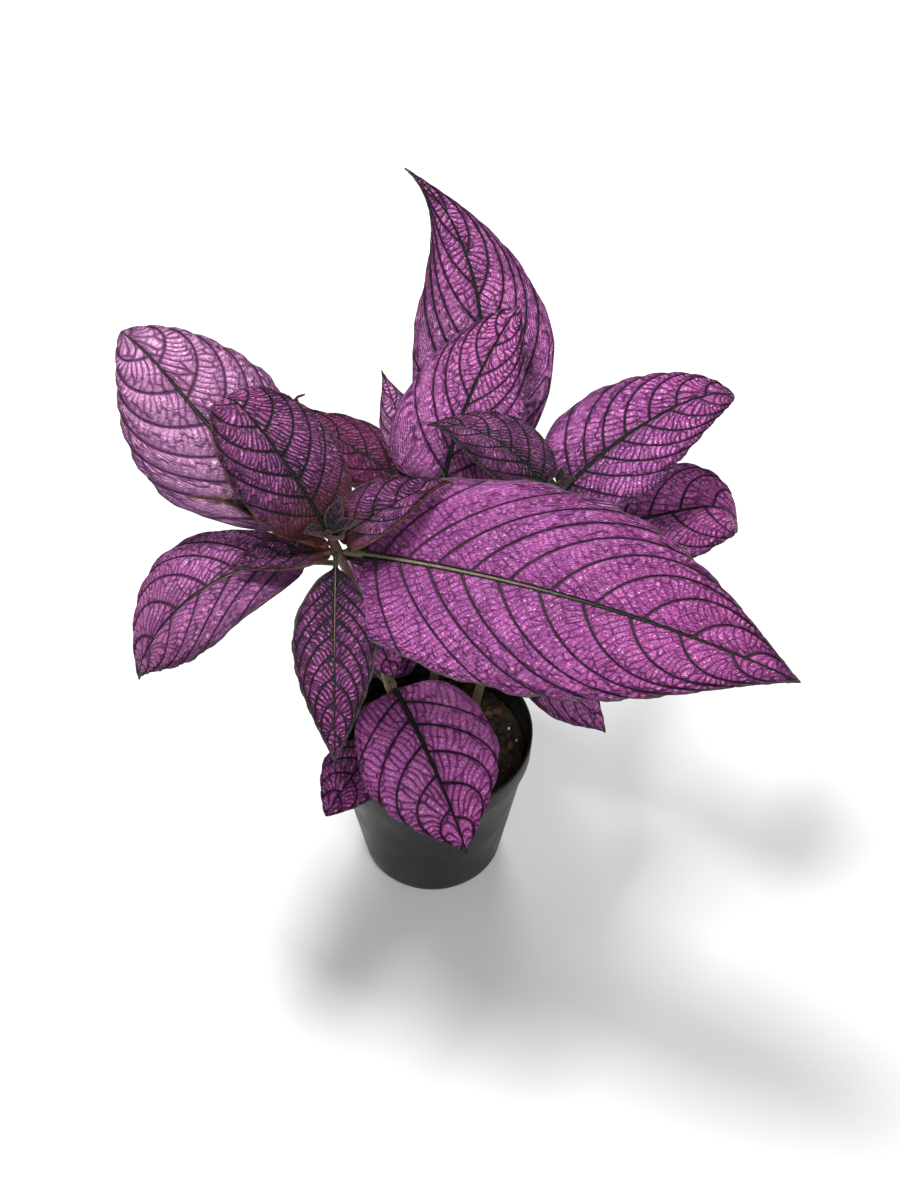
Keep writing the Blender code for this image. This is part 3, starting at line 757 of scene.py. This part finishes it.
def make_leaf(name, node, leaf, foot, number, upper, under):
    """One leaf: a fine grid puffed between its veins, with a coarser one under it for its lower face."""
    spine = midrib(leaf, foot)
    stalk_share = leaf.stalk / leaf.length
    step = leaf.rung / leaf.fine / 1000
    columns = UNDER_COLUMN_STEP * math.ceil(leaf.width / 2 / step / UNDER_COLUMN_STEP)
    rows = 2 * math.ceil(leaf.length / leaf.veins / step / 2.2)
    spread = np.linspace(-1, 1, 2 * columns + 1)
    across = np.sign(spread) * np.abs(spread) ** COLUMN_CROWDING
    aside = np.abs(across)
    blade_rows = rows * leaf.veins + 1
    phase = np.concatenate([np.zeros(STALK_ROWS), np.arange(blade_rows) / rows])
    stagger = round(VEIN_STAGGER * rows) / rows
    side = np.where(across > 0, 0.0, 1.0)[None, :] + np.zeros((len(phase), 1))
    own_phase = phase[:, None] + stagger * side
    stalk_part = np.linspace(-1, 0, STALK_ROWS, endpoint=False)
    stalk_part = np.concatenate([stalk_part, np.zeros(blade_rows)])[:, None]
    on_stalk = stalk_part < 0
    origin = (phase / leaf.veins) ** (1 / VEIN_CROWDING)
    reach = row_along(leaf, origin[:, None], aside[None, :])
    teeth = TOOTH_DEPTH * aside**10 * np.abs(np.sin(TEETH_TO_A_VEIN * np.pi * own_phase))
    notch = 1 - MARGIN_NOTCH * aside**4 * np.cos(np.pi * own_phase) ** 2 - teeth
    wing_shape = np.where(on_stalk, np.sqrt(np.clip(1 + stalk_part, 0, 1)), (1 - reach) ** 6)
    wing = leaf.wing / 1000 * wing_shape
    half = np.where(on_stalk, STALK_HALF_WIDTH, half_width(leaf, reach) * notch) + wing
    along = np.where(on_stalk, stalk_share * (1 + stalk_part), stalk_share + (1 - stalk_share) * reach)
    plain = place(leaf, spine, along, np.broadcast_to(across, half.shape), half)

    outward, slip, row_gap = (1000 * part for part in measure_rows(plain, columns))
    gap = np.maximum(row_gap * rows, 0.5)
    gap_number = np.floor(own_phase + 1e-6)
    gap_middle = (gap_number + 0.5 - stagger * side) * rows
    centre_row = STALK_ROWS + np.clip(gap_middle, 0, blade_rows - 1).astype(int)
    crossed = outward + slip - slip[centre_row, np.arange(len(across))[None, :]]
    crowding = 1 + 0.5 * aside[None, :] ** 2
    shift = chance(gap_number, side + number)
    part = own_phase - gap_number
    count = crossed / leaf.rung * (1 + 0.2 * aside[None, :]) + 7 * shift
    count += 0.15 * np.sin(count * 0.9 + 6.3 * shift) + 0.20 * np.sin(5.0 * part + count * 0.6 + 9 * shift)
    size_y = leaf.rung / crowding
    widest_gap = np.percentile(gap, 75)
    ladders = max(1.0, widest_gap / ((4.0 + 1.5 * leaf.age) * leaf.rung))
    grains = max(2.0, widest_gap / (0.5 * leaf.rung))
    rung_gap = net_distance(own_phase * ladders, count, gap / ladders, size_y, number, 0.5)
    grain_gap = net_distance(own_phase * grains, 2 * count, gap / grains, size_y / 2, number + 31, 0.8)

    between = np.abs(np.sin(np.pi * own_phase)) ** 0.7
    start = smooth(aside / 0.10)[None, :] * smooth((1 - aside) / 0.05 + 0.25)[None, :]
    ends = np.minimum(1.0, 6 * origin * (1 - origin))[:, None]
    veil = between * start * ends
    puff = RIB_SHARE * leaf.width / leaf.veins * veil
    quilt = leaf.quilt * leaf.rung / 1000
    pads = quilt * (smooth(rung_gap / (RUNG_GROOVE * leaf.rung)) - 0.7) * veil
    pads += leaf.grain * GRAIN_SHARE * quilt * (smooth(grain_gap / (GRAIN_GROOVE * leaf.rung)) - 0.6) * veil
    out = half * aside[None, :]
    rib = RIB_RISE * (1 - reach) * np.exp(-((out / RIB_HALF_WIDTH) ** 2)) * (1 - on_stalk)
    rounding = np.where(on_stalk, 1.0, 1 - smooth(reach / 0.08))
    body = np.sqrt(1 - np.clip(out / (STALK_HALF_WIDTH * 1.05), 0, 1) ** 2)
    sunk = -MIDRIB_THICKNESS / 2 * rounding * (1 - body)
    normal = np.cross(np.gradient(plain, axis=0), np.gradient(plain, axis=1))
    normal /= np.linalg.norm(normal, axis=-1, keepdims=True) + 1e-12
    points = plain + normal * (puff + pads + rib + sunk)[..., None]

    keel = MIDRIB_THICKNESS * (1 - reach) ** 0.7 * np.exp(-((out / MIDRIB_REACH) ** 2))
    vein_distance = np.abs(own_phase - np.round(own_phase)) * gap
    vein_rib = np.exp(-((vein_distance / VEIN_RIB_HALF_MM) ** 2))
    rib_under = 0.5 * BLADE_THICKNESS * vein_rib * (1 - aside[None, :])
    thickness = np.maximum(keel, BLADE_THICKNESS + rib_under)
    thickness = thickness * (1 - rounding) + np.maximum(MIDRIB_THICKNESS * body, 0.0004) * rounding

    under_points = plain + normal * (puff + rib + sunk - thickness)[..., None]
    coarse = (slice(None, None, UNDER_ROW_STEP), slice(None, None, UNDER_COLUMN_STEP))
    top = np.arange(half.size).reshape(half.shape)
    low = half.size + np.arange(top[coarse].size).reshape(top[coarse].shape)
    rim, top_faces, low_faces = rim_faces(top, low), grid_faces(top), grid_faces(low[:, ::-1])
    points = np.concatenate([points.reshape(-1, 3), under_points[coarse].reshape(-1, 3)])
    mesh = mesh_of(name, points, rim + top_faces + low_faces)
    values = {
        "phase": own_phase, "gap_mm": gap, "out_mm": out * 1000,
        "edge_mm": half * (1 - aside[None, :]) * 1000, "share": np.where(on_stalk, stalk_part, reach),
        "rung_gap_mm": rung_gap, "grain_gap_mm": grain_gap, "rung_mm": leaf.rung, "age": leaf.age,
        "pale": leaf.pale, "glow": leaf.glow, "wine": leaf.wine, "bloom": leaf.bloom, "grain": leaf.grain,
        "size": min(1.0, leaf.width / 0.08), "rust": leaf.age * (leaf.wing > 0),
    }
    for label, value in values.items():
        value = np.broadcast_to(value, half.shape)
        value = np.concatenate([value.reshape(-1), value[coarse].reshape(-1)])
        mesh.attributes.new(label, "FLOAT", "POINT").data.foreach_set("value", value.astype(np.float32))
    made = add_piece(name, mesh, upper, under)
    face_numbers = range(len(mesh.polygons))
    first_low = len(rim) + len(top_faces)
    mesh.polygons.foreach_set("material_index", [int(face >= first_low) for face in face_numbers])
    mesh.polygons.foreach_set("use_smooth", [face >= len(rim) for face in face_numbers])
    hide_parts(node)


def fields(tree, *names):
    """The values stored under those names on the leaf's mesh."""
    return [add_node(tree, "ShaderNodeAttribute", {"attribute_name": name}).outputs["Fac"] for name in names]


def make_leaf_net():
    """A node group: where a leaf's midrib, side veins, cross veins, grains and margin lie, from 0 to 1."""
    tree = bpy.data.node_groups.new("leaf net", "ShaderNodeTree")
    for name in ("Vein Width", "Rung Width"):
        tree.interface.new_socket(name, in_out="INPUT", socket_type="NodeSocketFloat")
    given = tree.nodes.new("NodeGroupInput").outputs
    result = tree.nodes.new("NodeGroupOutput")
    size, age, pale, grain, share = fields(tree, "size", "age", "pale", "grain", "share")
    out, edge, phase, gap = fields(tree, "out_mm", "edge_mm", "phase", "gap_mm")
    rung, rung_gap, grain_gap = fields(tree, "rung_mm", "rung_gap_mm", "grain_gap_mm")
    wander = maths(tree, "SUBTRACT", cloud(tree, 420.0, 2.0), 0.5)
    uneven = cloud(tree, 190.0, 2.0)
    masks = {}

    rib_half = times(tree, scaled(tree, share, -0.75, 1.0), size)
    rib_share = maths(tree, "DIVIDE", out, maths(tree, "MAXIMUM", rib_half, 0.18))
    masks["Midrib"] = fade(tree, rib_share, 0.55, 0.85, 1.0, 0.0)
    masks["Beside Midrib"] = fade(tree, rib_share, 1.4, 2.5, 1.0, 0.0)

    aside = maths(tree, "DIVIDE", out, maths(tree, "ADD", maths(tree, "ADD", out, edge), 0.01))
    off_vein = maths(tree, "PINGPONG", phase, 0.5)
    vein_mm = scaled(tree, wander, 0.5, times(tree, off_vein, gap))
    vein_half = times(tree, scaled(tree, aside, -0.5, 1.0), given["Vein Width"])
    vein_half = times(tree, vein_half, scaled(tree, size, 0.65, 0.35))
    thin = maths(tree, "DIVIDE", vein_mm, vein_half)
    masks["Veins"] = fade(tree, thin, 0.75, 1.5, 1.0, 0.0)
    masks["Vein Shade"] = fade(tree, thin, 1.0, 4.5, 1.0, 0.0)
    core_end = fade(tree, aside, 0.1, 0.55, 1.0, 0.0)
    masks["Vein Core"] = times(tree, fade(tree, thin, 0.15, 0.5, 1.0, 0.0), core_end)

    halfway = times(tree, maths(tree, "SUBTRACT", 0.5, off_vein), gap)
    halfway = maths(tree, "DIVIDE", scaled(tree, wander, 1.6, halfway), vein_half)
    halfway_end = fade(tree, aside, 0.22, 0.50, 1.0, 0.0)
    between = times(tree, fade(tree, halfway, 0.3, 0.9, 0.8, 0.0), halfway_end)
    rung_half = times(tree, given["Rung Width"], scaled(tree, age, 0.5, 1.0))
    rungs = fade(tree, maths(tree, "DIVIDE", rung_gap, rung_half), 0.35, 1.5, 1.0, 0.0)
    inner = times(tree, fade(tree, aside, 0.15, 0.85, 0.60, 0.0), grain)
    rungs = times(tree, rungs, fade(tree, uneven, 0.30, 0.60, 0.45, 1.0))
    rungs = times(tree, rungs, maths(tree, "SUBTRACT", 1.0, inner))
    masks["Rungs"] = maths(tree, "MAXIMUM", rungs, between)
    masks["Grains"] = times(tree, fade(tree, grain_gap, 0.05, 0.50, 1.0, 0.0), grain)

    hem = maths(tree, "SUBTRACT", scaled(tree, wander, 1.5, edge), times(tree, size, 3.6))
    hem = fade(tree, maths(tree, "ABSOLUTE", hem), 0.2, 0.55, 0.7, 0.0)
    masks["Hem"] = times(tree, hem, fade(tree, aside, 0.75, 0.9))
    # The margin band, widened on leaves with a pale midrib into a pale strip that is partly painted sheen.
    band = scaled(tree, pale, -0.7, scaled(tree, age, -0.5, edge))
    masks["Margin"] = fade(tree, scaled(tree, wander, 1.0, band), 0.15, 0.55, 1.0, 0.0)
    # Along the margin: painted shade on the skin, and darker cross veins where the quilting is tighter.
    masks["Rim Band"] = fade(tree, maths(tree, "DIVIDE", edge, size), 1.0, 7.0, 1.0, 0.0)
    pads = fade(tree, maths(tree, "DIVIDE", rung_gap, rung), 0.02, 0.30)
    masks["Pads"] = times(tree, pads, fade(tree, thin, 0.8, 3.5))
    for name, value in masks.items():
        tree.interface.new_socket(name, in_out="OUTPUT", socket_type="NodeSocketFloat")
        tree.links.new(value, result.inputs[name])
    return tree


leaf_net = make_leaf_net()


def netted(tree, vein_width, rung_width):
    """The leaf net placed in a material, with the half widths of its veins in millimetres."""
    widths = {"Vein Width": vein_width, "Rung Width": rung_width}
    return add_node(tree, "ShaderNodeGroup", {"node_tree": leaf_net}, widths).outputs


def make_upper_finish():
    """The upper skin: metallic purple pads between dark green veins, redder and darker in young leaves; its
    shading, glints and sheen are painted.
    """
    finish, tree, shader = new_finish(
        "leaf upper skin", IOR=1.45, Specular_IOR_Level=0.12, Sheen_Weight=0.02, Sheen_Roughness=0.35,
        Sheen_Tint=colour(0.95, 0.80, 0.95),
    )
    net = netted(tree, 0.46, 0.32)
    age, share, pale, glow = fields(tree, "age", "share", "pale", "glow")
    wine, bloom, rust, out = fields(tree, "wine", "bloom", "rust", "out_mm")
    patches, specks = mottled(tree, 55.0, 1500.0)
    # The lit purple and the shaded purple of the skin. The painted shading below mixes them, so the skin is
    # painted lighter and darker. The redder tip and the near-black of young leaves are their own tones.
    lit_purple = blend(tree, patches, colour(0.33, 0.056, 0.280), colour(0.57, 0.125, 0.470))
    lit_purple = blend(tree, fade(tree, share, 0.35, 0.90, 0.0, 0.6), lit_purple, colour(0.54, 0.075, 0.37))
    shaded_purple = blend(tree, patches, colour(0.045, 0.007, 0.047), colour(0.075, 0.012, 0.075))
    shaded_purple = blend(tree, times(tree, age, 0.8), shaded_purple, colour(0.012, 0.007, 0.015))
    vein_shade = times(tree, net["Vein Shade"], scaled(tree, age, 0.35, 0.35))
    # Painted light and shade: brighter on the crowns of the pads, darker beside the veins, along the margin,
    # towards the leaf's base and near its midrib. The specks and the darker young leaves are the skin's own
    # mottle and tone.
    painted_shading_and_mottle = times(
        tree, scaled(tree, net["Pads"], 0.70, 0.30), scaled(tree, specks, 0.25, 0.75),
        maths(tree, "SUBTRACT", 1.0, vein_shade), scaled(tree, net["Rim Band"], -0.45, 1.0),
        scaled(tree, age, -0.22, 1.0), fade(tree, share, 0.0, 0.30, 0.60, 1.0),
        fade(tree, out, 0.5, 9.0, 0.70, 1.0),
    )
    # Painted sheen: a silvery lilac haze laid over the lit skin, in soft patches and more on leaves with a
    # strong lilac film.
    painted_silver_sheen = maths(tree, "ADD", fade(tree, cloud(tree, 30.0), 0.45, 0.75, 0.0, 0.25), bloom)
    # The red of wine leaves in a lit and a shaded tone, mixed by the painted shading.
    wine_lit_and_shaded = blend(tree, painted_shading_and_mottle, colour(0.035, 0.004, 0.012), colour(0.15, 0.012, 0.050))

    # How clearly the veins and cross veins show through the painted lilac film.
    clear = scaled(tree, bloom, -0.70, 1.0)
    # Painted glints: small pinkish-white highlights on the brighter pads, fewer under a lilac film and on
    # red leaves.
    painted_glints = times(
        tree, fade(tree, cloud(tree, 760.0, 2.0, 0.6), 0.50, 0.72), net["Pads"], painted_shading_and_mottle,
        scaled(tree, bloom, -0.6, 0.95), scaled(tree, wine, -0.8, 1.0),
    )
    rung_dark = scaled(tree, net["Rim Band"], 0.2, scaled(tree, age, 0.40, 0.60))
    rung_dark = times(tree, rung_dark, scaled(tree, wine, -0.45, clear))
    young = times(
        tree, age, fade(tree, share, 0.05, 1.0, 1.0, 0.0), fade(tree, out, 1.5, 12.0, 1.25, 0.20),
        scaled(tree, net["Pads"], -0.60, 1.0),
    )
    foot = times(tree, rust, fade(tree, share, 0.0, 0.34, 1.0, 0.0))
    core = times(tree, net["Vein Core"], scaled(tree, pale, 0.45, 0.05))
    rib_pale = times(tree, pale, fade(tree, share, 0.30, 0.60, 1.0, 0.10))
    rib_tone = blend(tree, rib_pale, colour(0.014, 0.018, 0.013), colour(0.24, 0.20, 0.14))
    stalk = times(tree, fade(tree, share, -0.15, 0.02, 1.0, 0.0), fade(tree, out, 1.2, 1.9, 1.0, 0.0))
    stalk_tone = blend(tree, rust, colour(0.17, 0.16, 0.085), colour(0.075, 0.022, 0.018))
    # The margin's colour: partly the edge's own beige line, partly a painted highlight, made paler and wider
    # on pale leaves as painted sheen where the margin curls down.
    margin_tone_and_sheen = blend(tree, pale, colour(0.055, 0.052, 0.045), colour(0.09, 0.075, 0.070))
    margin_tone_and_sheen = blend(tree, rust, margin_tone_and_sheen, colour(0.14, 0.056, 0.040))
    dark_green = colour(0.005, 0.009, 0.007)
    # The skin starts from the painted shading, brightened or darkened for each leaf by its own tone and by
    # painted light.
    skin = paint(
        tree, blend(tree, times(tree, painted_shading_and_mottle, glow), shaded_purple, lit_purple),
        (times(tree, painted_shading_and_mottle, painted_silver_sheen), colour(0.33, 0.20, 0.30)),
        (wine, wine_lit_and_shaded),
        # Painted shade in the grooves between the pebbles.
        (times(tree, net["Grains"], 0.35), colour(0.030, 0.007, 0.034)),
        (painted_glints, colour(0.80, 0.42, 0.72)),
        (times(tree, net["Rungs"], rung_dark), colour(0.015, 0.011, 0.014)),
        (times(tree, net["Hem"], 0.7), dark_green),
        (young, colour(0.008, 0.010, 0.009)),
        (foot, colour(0.085, 0.022, 0.018)),
        (net["Beside Midrib"], dark_green),
        (times(tree, net["Veins"], clear), dark_green),
        (core, colour(0.10, 0.11, 0.07)),
        (net["Midrib"], rib_tone),
        (stalk, stalk_tone),
        (times(tree, net["Margin"], 0.8), margin_tone_and_sheen),
    )

    plain = maths(tree, "MAXIMUM", maths(tree, "MAXIMUM", net["Veins"], net["Midrib"]), stalk)
    shine = times(tree, net["Pads"], maths(tree, "SUBTRACT", 1.0, plain))
    rough = scaled(tree, specks, 0.10, scaled(tree, shine, -0.30, 0.56))
    relief = scaled(tree, net["Grains"], -0.60, times(tree, net["Rungs"], -0.65))
    relief = scaled(tree, net["Veins"], -0.6, relief)
    pebbles = times(tree, cloud(tree, 640.0, 3.0, 0.6), clear)
    relief = scaled(tree, pebbles, 1.5, relief)
    metal = times(tree, shine, 0.45)
    dress(tree, shader, relief, 1.0, 0.0009, Base_Color=skin, Metallic=metal, Roughness=rough)
    return finish


def make_under_finish():
    """The underside: dull maroon with paler, raised veins."""
    finish, tree, shader = new_finish("leaf underside", IOR=1.42, Sheen_Weight=0.15, Sheen_Roughness=0.5)
    net = netted(tree, 0.50, 0.40)
    patches, specks = mottled(tree, 60.0, 1700.0)
    skin = paint(
        tree, blend(tree, patches, colour(0.070, 0.010, 0.030), colour(0.115, 0.020, 0.050)),
        (times(tree, specks, 0.3), colour(0.050, 0.008, 0.020)),
        (times(tree, net["Rungs"], 0.35), colour(0.16, 0.050, 0.055)),
        (times(tree, net["Veins"], 0.75), colour(0.17, 0.070, 0.050)),
        (net["Midrib"], colour(0.20, 0.11, 0.065)),
    )
    relief = scaled(tree, net["Veins"], 0.9, times(tree, net["Rungs"], 0.4))
    relief = scaled(tree, cloud(tree, 1500.0, 3.0), 0.3, relief)
    rough = scaled(tree, specks, 0.12, 0.50)
    dress(tree, shader, relief, 0.7, 0.0005, Base_Color=skin, Roughness=rough)
    return finish


upper_finish = make_upper_finish()
under_finish = make_under_finish()


def grow_leaves(shoot, leaves, first):
    """All the leaves of one shoot, numbered from first on, so that no two have the same pattern of pads."""
    for number, (name, leaf) in enumerate(leaves.items()):
        leaf = leaf._replace(shoot=shoot)
        make_leaf(f"{name}_blade", name, leaf, leaf_foot(leaf), first + number, upper_finish, under_finish)


grow_leaves("front", FRONT_LEAVES, 0)


# Leaves of the right shoot
# The same blades on the shoot that leans to the right. Its youngest pair is still dark and tightly
# quilted, and the two leaves that reach out to the side are full grown.

RIGHT_LEAVES = {
    "right_leaf_1": Leaf(
        height=0.97, azimuth=132, rise=35, droop=57, sway=33, roll=5, length=0.0755, width=0.043,
        stalk=0.003, belly=0.39, base_taper=0.58, tip_taper=1.5, veins=6, rung=1.7, age=1.0, fine=4.15,
        quilt=0.33, grain=0.5,
    ),
    "right_leaf_2": Leaf(
        height=0.93, azimuth=35, rise=36, droop=36, sway=-17, hook=22, roll=5, length=0.1125, width=0.066,
        belly=0.31, base_taper=0.6, tip_taper=0.68, veins=8, rung=2.8, age=0.2, glow=0.85, fine=4.15,
        bloom=0.1,
    ),
    "right_leaf_3": Leaf(
        height=0.80, azimuth=0, rise=17, droop=10, sway=8, hook=62, roll=10, length=0.108, width=0.063,
        stalk=0.012, belly=0.52, tip_taper=0.5, rung=2.8, age=0.25, glow=1.35, fine=4.15, grain=0.9,
    ),
    "right_leaf_4": Leaf(
        height=0.97, azimuth=335, rise=-6, droop=30, length=0.050, width=0.024, stalk=0.004, veins=5,
        rung=1.7, age=0.9,
    ),
    "right_leaf_5": Leaf(height=0.76, azimuth=196, rise=-6, droop=40, length=0.060, width=0.032, veins=5),
    "right_leaf_6": Leaf(height=0.60, azimuth=290, rise=0, droop=64, length=0.056, width=0.032, veins=5),
    "right_leaf_7": Leaf(
        height=0.50, azimuth=64, rise=4, droop=80, length=0.105, width=0.056, stalk=0.014,
    ),
    "right_leaf_8": Leaf(height=0.34, azimuth=340, rise=-4, droop=60, length=0.078, width=0.040, veins=6),
}
grow_leaves("right", RIGHT_LEAVES, 20)


# Leaves of the back shoot
# The same blades on the shoot at the back, with one long leaf that stands up behind the others and a
# dark one whose narrow tip curls over.

BACK_LEAVES = {
    "back_leaf_1": Leaf(
        height=0.97, azimuth=74.5, rise=46, droop=10, sway=-30, roll=3, length=0.105, width=0.067,
        stalk=0.005, belly=0.29, base_taper=0.42, tip_taper=0.75, rung=2.7, age=0.1, glow=1.1, fine=4.15,
        quilt=0.16, grain=0.1, sweep=0.62, bend=0.30, bloom=0.3,
    ),
    "back_leaf_2": Leaf(
        height=0.93, azimuth=150, rise=26, droop=28, hook=-150, length=0.106, width=0.042, fold=6,
        tip_taper=1.9, veins=6, rung=2.2, fine=4.0, age=0.5, glow=0.8, wine=0.75,
    ),
    "back_leaf_3": Leaf(
        height=0.85, azimuth=55, rise=43.5, droop=23.5, sway=79, swerve=9, length=0.205, width=0.074,
        stalk=0.020, belly=0.37, tip_taper=1.57, veins=9, rung=3.0, age=0.3, glow=0.85, fine=4.15,
        quilt=0.24, grain=0.1, sweep=0.58, bend=0.40, bloom=0.22,
    ),
    "back_leaf_4": Leaf(
        height=0.95, azimuth=121, rise=33, droop=14, sway=-12, roll=-12, length=0.077, width=0.024,
        tip_taper=1.6, veins=5, rung=2.0, age=0.2, glow=1.1, fine=3.6, bloom=0.8,
    ),
    "back_leaf_5": Leaf(
        height=0.31, azimuth=205, rise=4, droop=24, length=0.040, width=0.022, stalk=0.008, veins=4,
    ),
    "back_leaf_6": Leaf(
        height=0.66, azimuth=92, rise=0, droop=84, length=0.110, width=0.058, stalk=0.014,
    ),
    "back_leaf_7": Leaf(
        height=0.48, azimuth=150, rise=-8, droop=70, length=0.096, width=0.050, stalk=0.014,
    ),
    "back_leaf_8": Leaf(height=0.46, azimuth=28, rise=-10, droop=60, length=0.062, width=0.034, veins=5),
    "back_leaf_9": Leaf(height=0.28, azimuth=82, rise=0, droop=70, length=0.080, width=0.042, veins=6),
}
grow_leaves("back", BACK_LEAVES, 40)


# Buds
# The growing tip of each shoot: a small tapering core, and two pairs of young leaves that are still
# folded along their midribs and are larger on the front shoot.

BUD_CORE_HEIGHT = 0.006
BUD_CORE_RADIUS = 0.0019
BUD_CORE_SIDES = 32
BUD_CORE_RINGS = 18
BUD_RIDGES = 0.06
BUD_LEAF_AZIMUTHS = (70, 225, 298, 345)
BUD_SIZES = {"front": 1.0, "right": 0.5, "back": 0.5}
YOUNG_LEAF = Leaf(
    rise=36, droop=-6, length=0.019, width=0.0090, stalk=0.0019, fold=40, veins=4, rung=0.5, fine=3.0,
    age=1.0,
)
bud_finish = make_stem_finish()


def make_bud(name, number):
    """One shoot's bud, the touching gap above the end of its stem."""
    direction = stem_direction(name, 1)
    foot = Vector(SHOOTS[name].tip) + direction * TOUCH_GAP
    side = direction.cross(Vector((0, 1, 0))).normalized()
    other = direction.cross(side)
    turns = np.linspace(0, 2 * math.pi, BUD_CORE_SIDES, endpoint=False)
    rings = []
    for height in np.linspace(0, 1, BUD_CORE_RINGS):
        reach = BUD_CORE_RADIUS * (1 - 0.75 * height**1.6) * (1 if height < 0.9 else 0.75)
        centre = foot + direction * BUD_CORE_HEIGHT * height
        ridges = 1 + BUD_RIDGES * np.cos(4 * turns + 5 * height)
        rings.append([
            centre + (side * math.cos(turn) + other * math.sin(turn)) * reach * ridge
            for turn, ridge in zip(turns, ridges)
        ])
    # The faces of the core are wound inward, unlike those of every other piece.
    faces = []
    for ring in range(BUD_CORE_RINGS - 1):
        for here in range(BUD_CORE_SIDES):
            after = (here + 1) % BUD_CORE_SIDES
            low, high = ring * BUD_CORE_SIDES, (ring + 1) * BUD_CORE_SIDES
            faces.append((low + here, high + here, high + after, low + after))
    faces.append(tuple(range(BUD_CORE_SIDES)))
    last_ring = range((BUD_CORE_RINGS - 1) * BUD_CORE_SIDES, BUD_CORE_RINGS * BUD_CORE_SIDES)
    faces.append(tuple(reversed(last_ring)))
    core = add_piece(f"{name}_bud_core", mesh_of(f"{name}_bud_core", np.array(rings), faces), bud_finish)
    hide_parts(f"{name}_bud")
    size = BUD_SIZES[name]
    for leaf_number, azimuth in enumerate(BUD_LEAF_AZIMUTHS):
        young = YOUNG_LEAF._replace(
            azimuth=azimuth, length=YOUNG_LEAF.length * size, width=YOUNG_LEAF.width * size,
        )
        start = foot + direction * BUD_CORE_HEIGHT * (0.35 + 0.20 * (leaf_number % 2))
        make_leaf(
            f"{name}_bud_leaf_{leaf_number + 1}", f"{name}_bud", young, start, number + leaf_number,
            upper_finish, under_finish,
        )


for number, shoot_name in enumerate(SHOOTS):
    make_bud(shoot_name, 60 + 10 * number)


# Floor, light and camera
# A plain pale floor, a soft light from above on the left with weaker ones behind and in front, and the
# camera at the photograph's viewing angle.

VIEW_HEIGHT = 48
VIEW_DISTANCE = 0.92
VIEW_TARGET = (0.010, 0.0, 0.2046)
LENS_MM = 55
SENSOR_MM = 36
FLOOR_GAP = 0.0002
WORLD_LIGHT = 0.22

floor_finish, floor_tree, floor_shader = new_finish("pale floor", Roughness=0.8)
floor_shader.inputs["Base Color"].default_value = colour(0.86, 0.86, 0.86)
floor_mesh = mesh_of("floor", [(-4, -4, 0), (4, -4, 0), (4, 6, 0), (-4, 6, 0)], [(0, 1, 2, 3)])
floor_mesh.materials.append(floor_finish)
floor = bpy.data.objects.new("floor", floor_mesh)
floor.location.z = -FLOOR_GAP
bpy.context.scene.collection.objects.link(floor)


def add_light(name, place, target, size, power, tint):
    """A square area light."""
    lamp = bpy.data.lights.new(name, "AREA")
    lamp.size = size
    lamp.energy = power
    lamp.color = tint
    made = bpy.data.objects.new(name, lamp)
    made.location = place
    made.rotation_euler = (Vector(target) - Vector(place)).to_track_quat("-Z", "Y").to_euler()
    bpy.context.scene.collection.objects.link(made)


add_light("key light", (-0.42, 0.25, 1.55), (0, 0.02, 0.25), 0.4, 26, (1.0, 0.98, 0.97))
add_light("back light", (0.15, 1.45, 1.35), (0, 0, 0.25), 0.7, 15, (1.0, 0.98, 1.0))
add_light("front light", (0.4, -1.2, 1.2), (0, 0, 0.2), 0.9, 14, (0.97, 0.98, 1.0))

world = bpy.data.worlds.new("studio")
bpy.context.scene.world = world
world.use_nodes = True
world.node_tree.nodes["Background"].inputs["Color"].default_value = colour(1.0, 1.0, 1.0)
world.node_tree.nodes["Background"].inputs["Strength"].default_value = WORLD_LIGHT
bpy.context.scene.view_settings.view_transform = "Standard"

tilt = math.radians(VIEW_HEIGHT)
camera_data = bpy.data.cameras.new("camera")
camera_data.lens = LENS_MM
camera_data.sensor_width = SENSOR_MM
camera = bpy.data.objects.new("camera", camera_data)
camera.location = (
    VIEW_TARGET[0],
    VIEW_TARGET[1] - VIEW_DISTANCE * math.cos(tilt),
    VIEW_TARGET[2] + VIEW_DISTANCE * math.sin(tilt),
)
camera.rotation_euler = (math.pi / 2 - tilt, 0, 0)
bpy.context.scene.collection.objects.link(camera)
bpy.context.scene.camera = camera
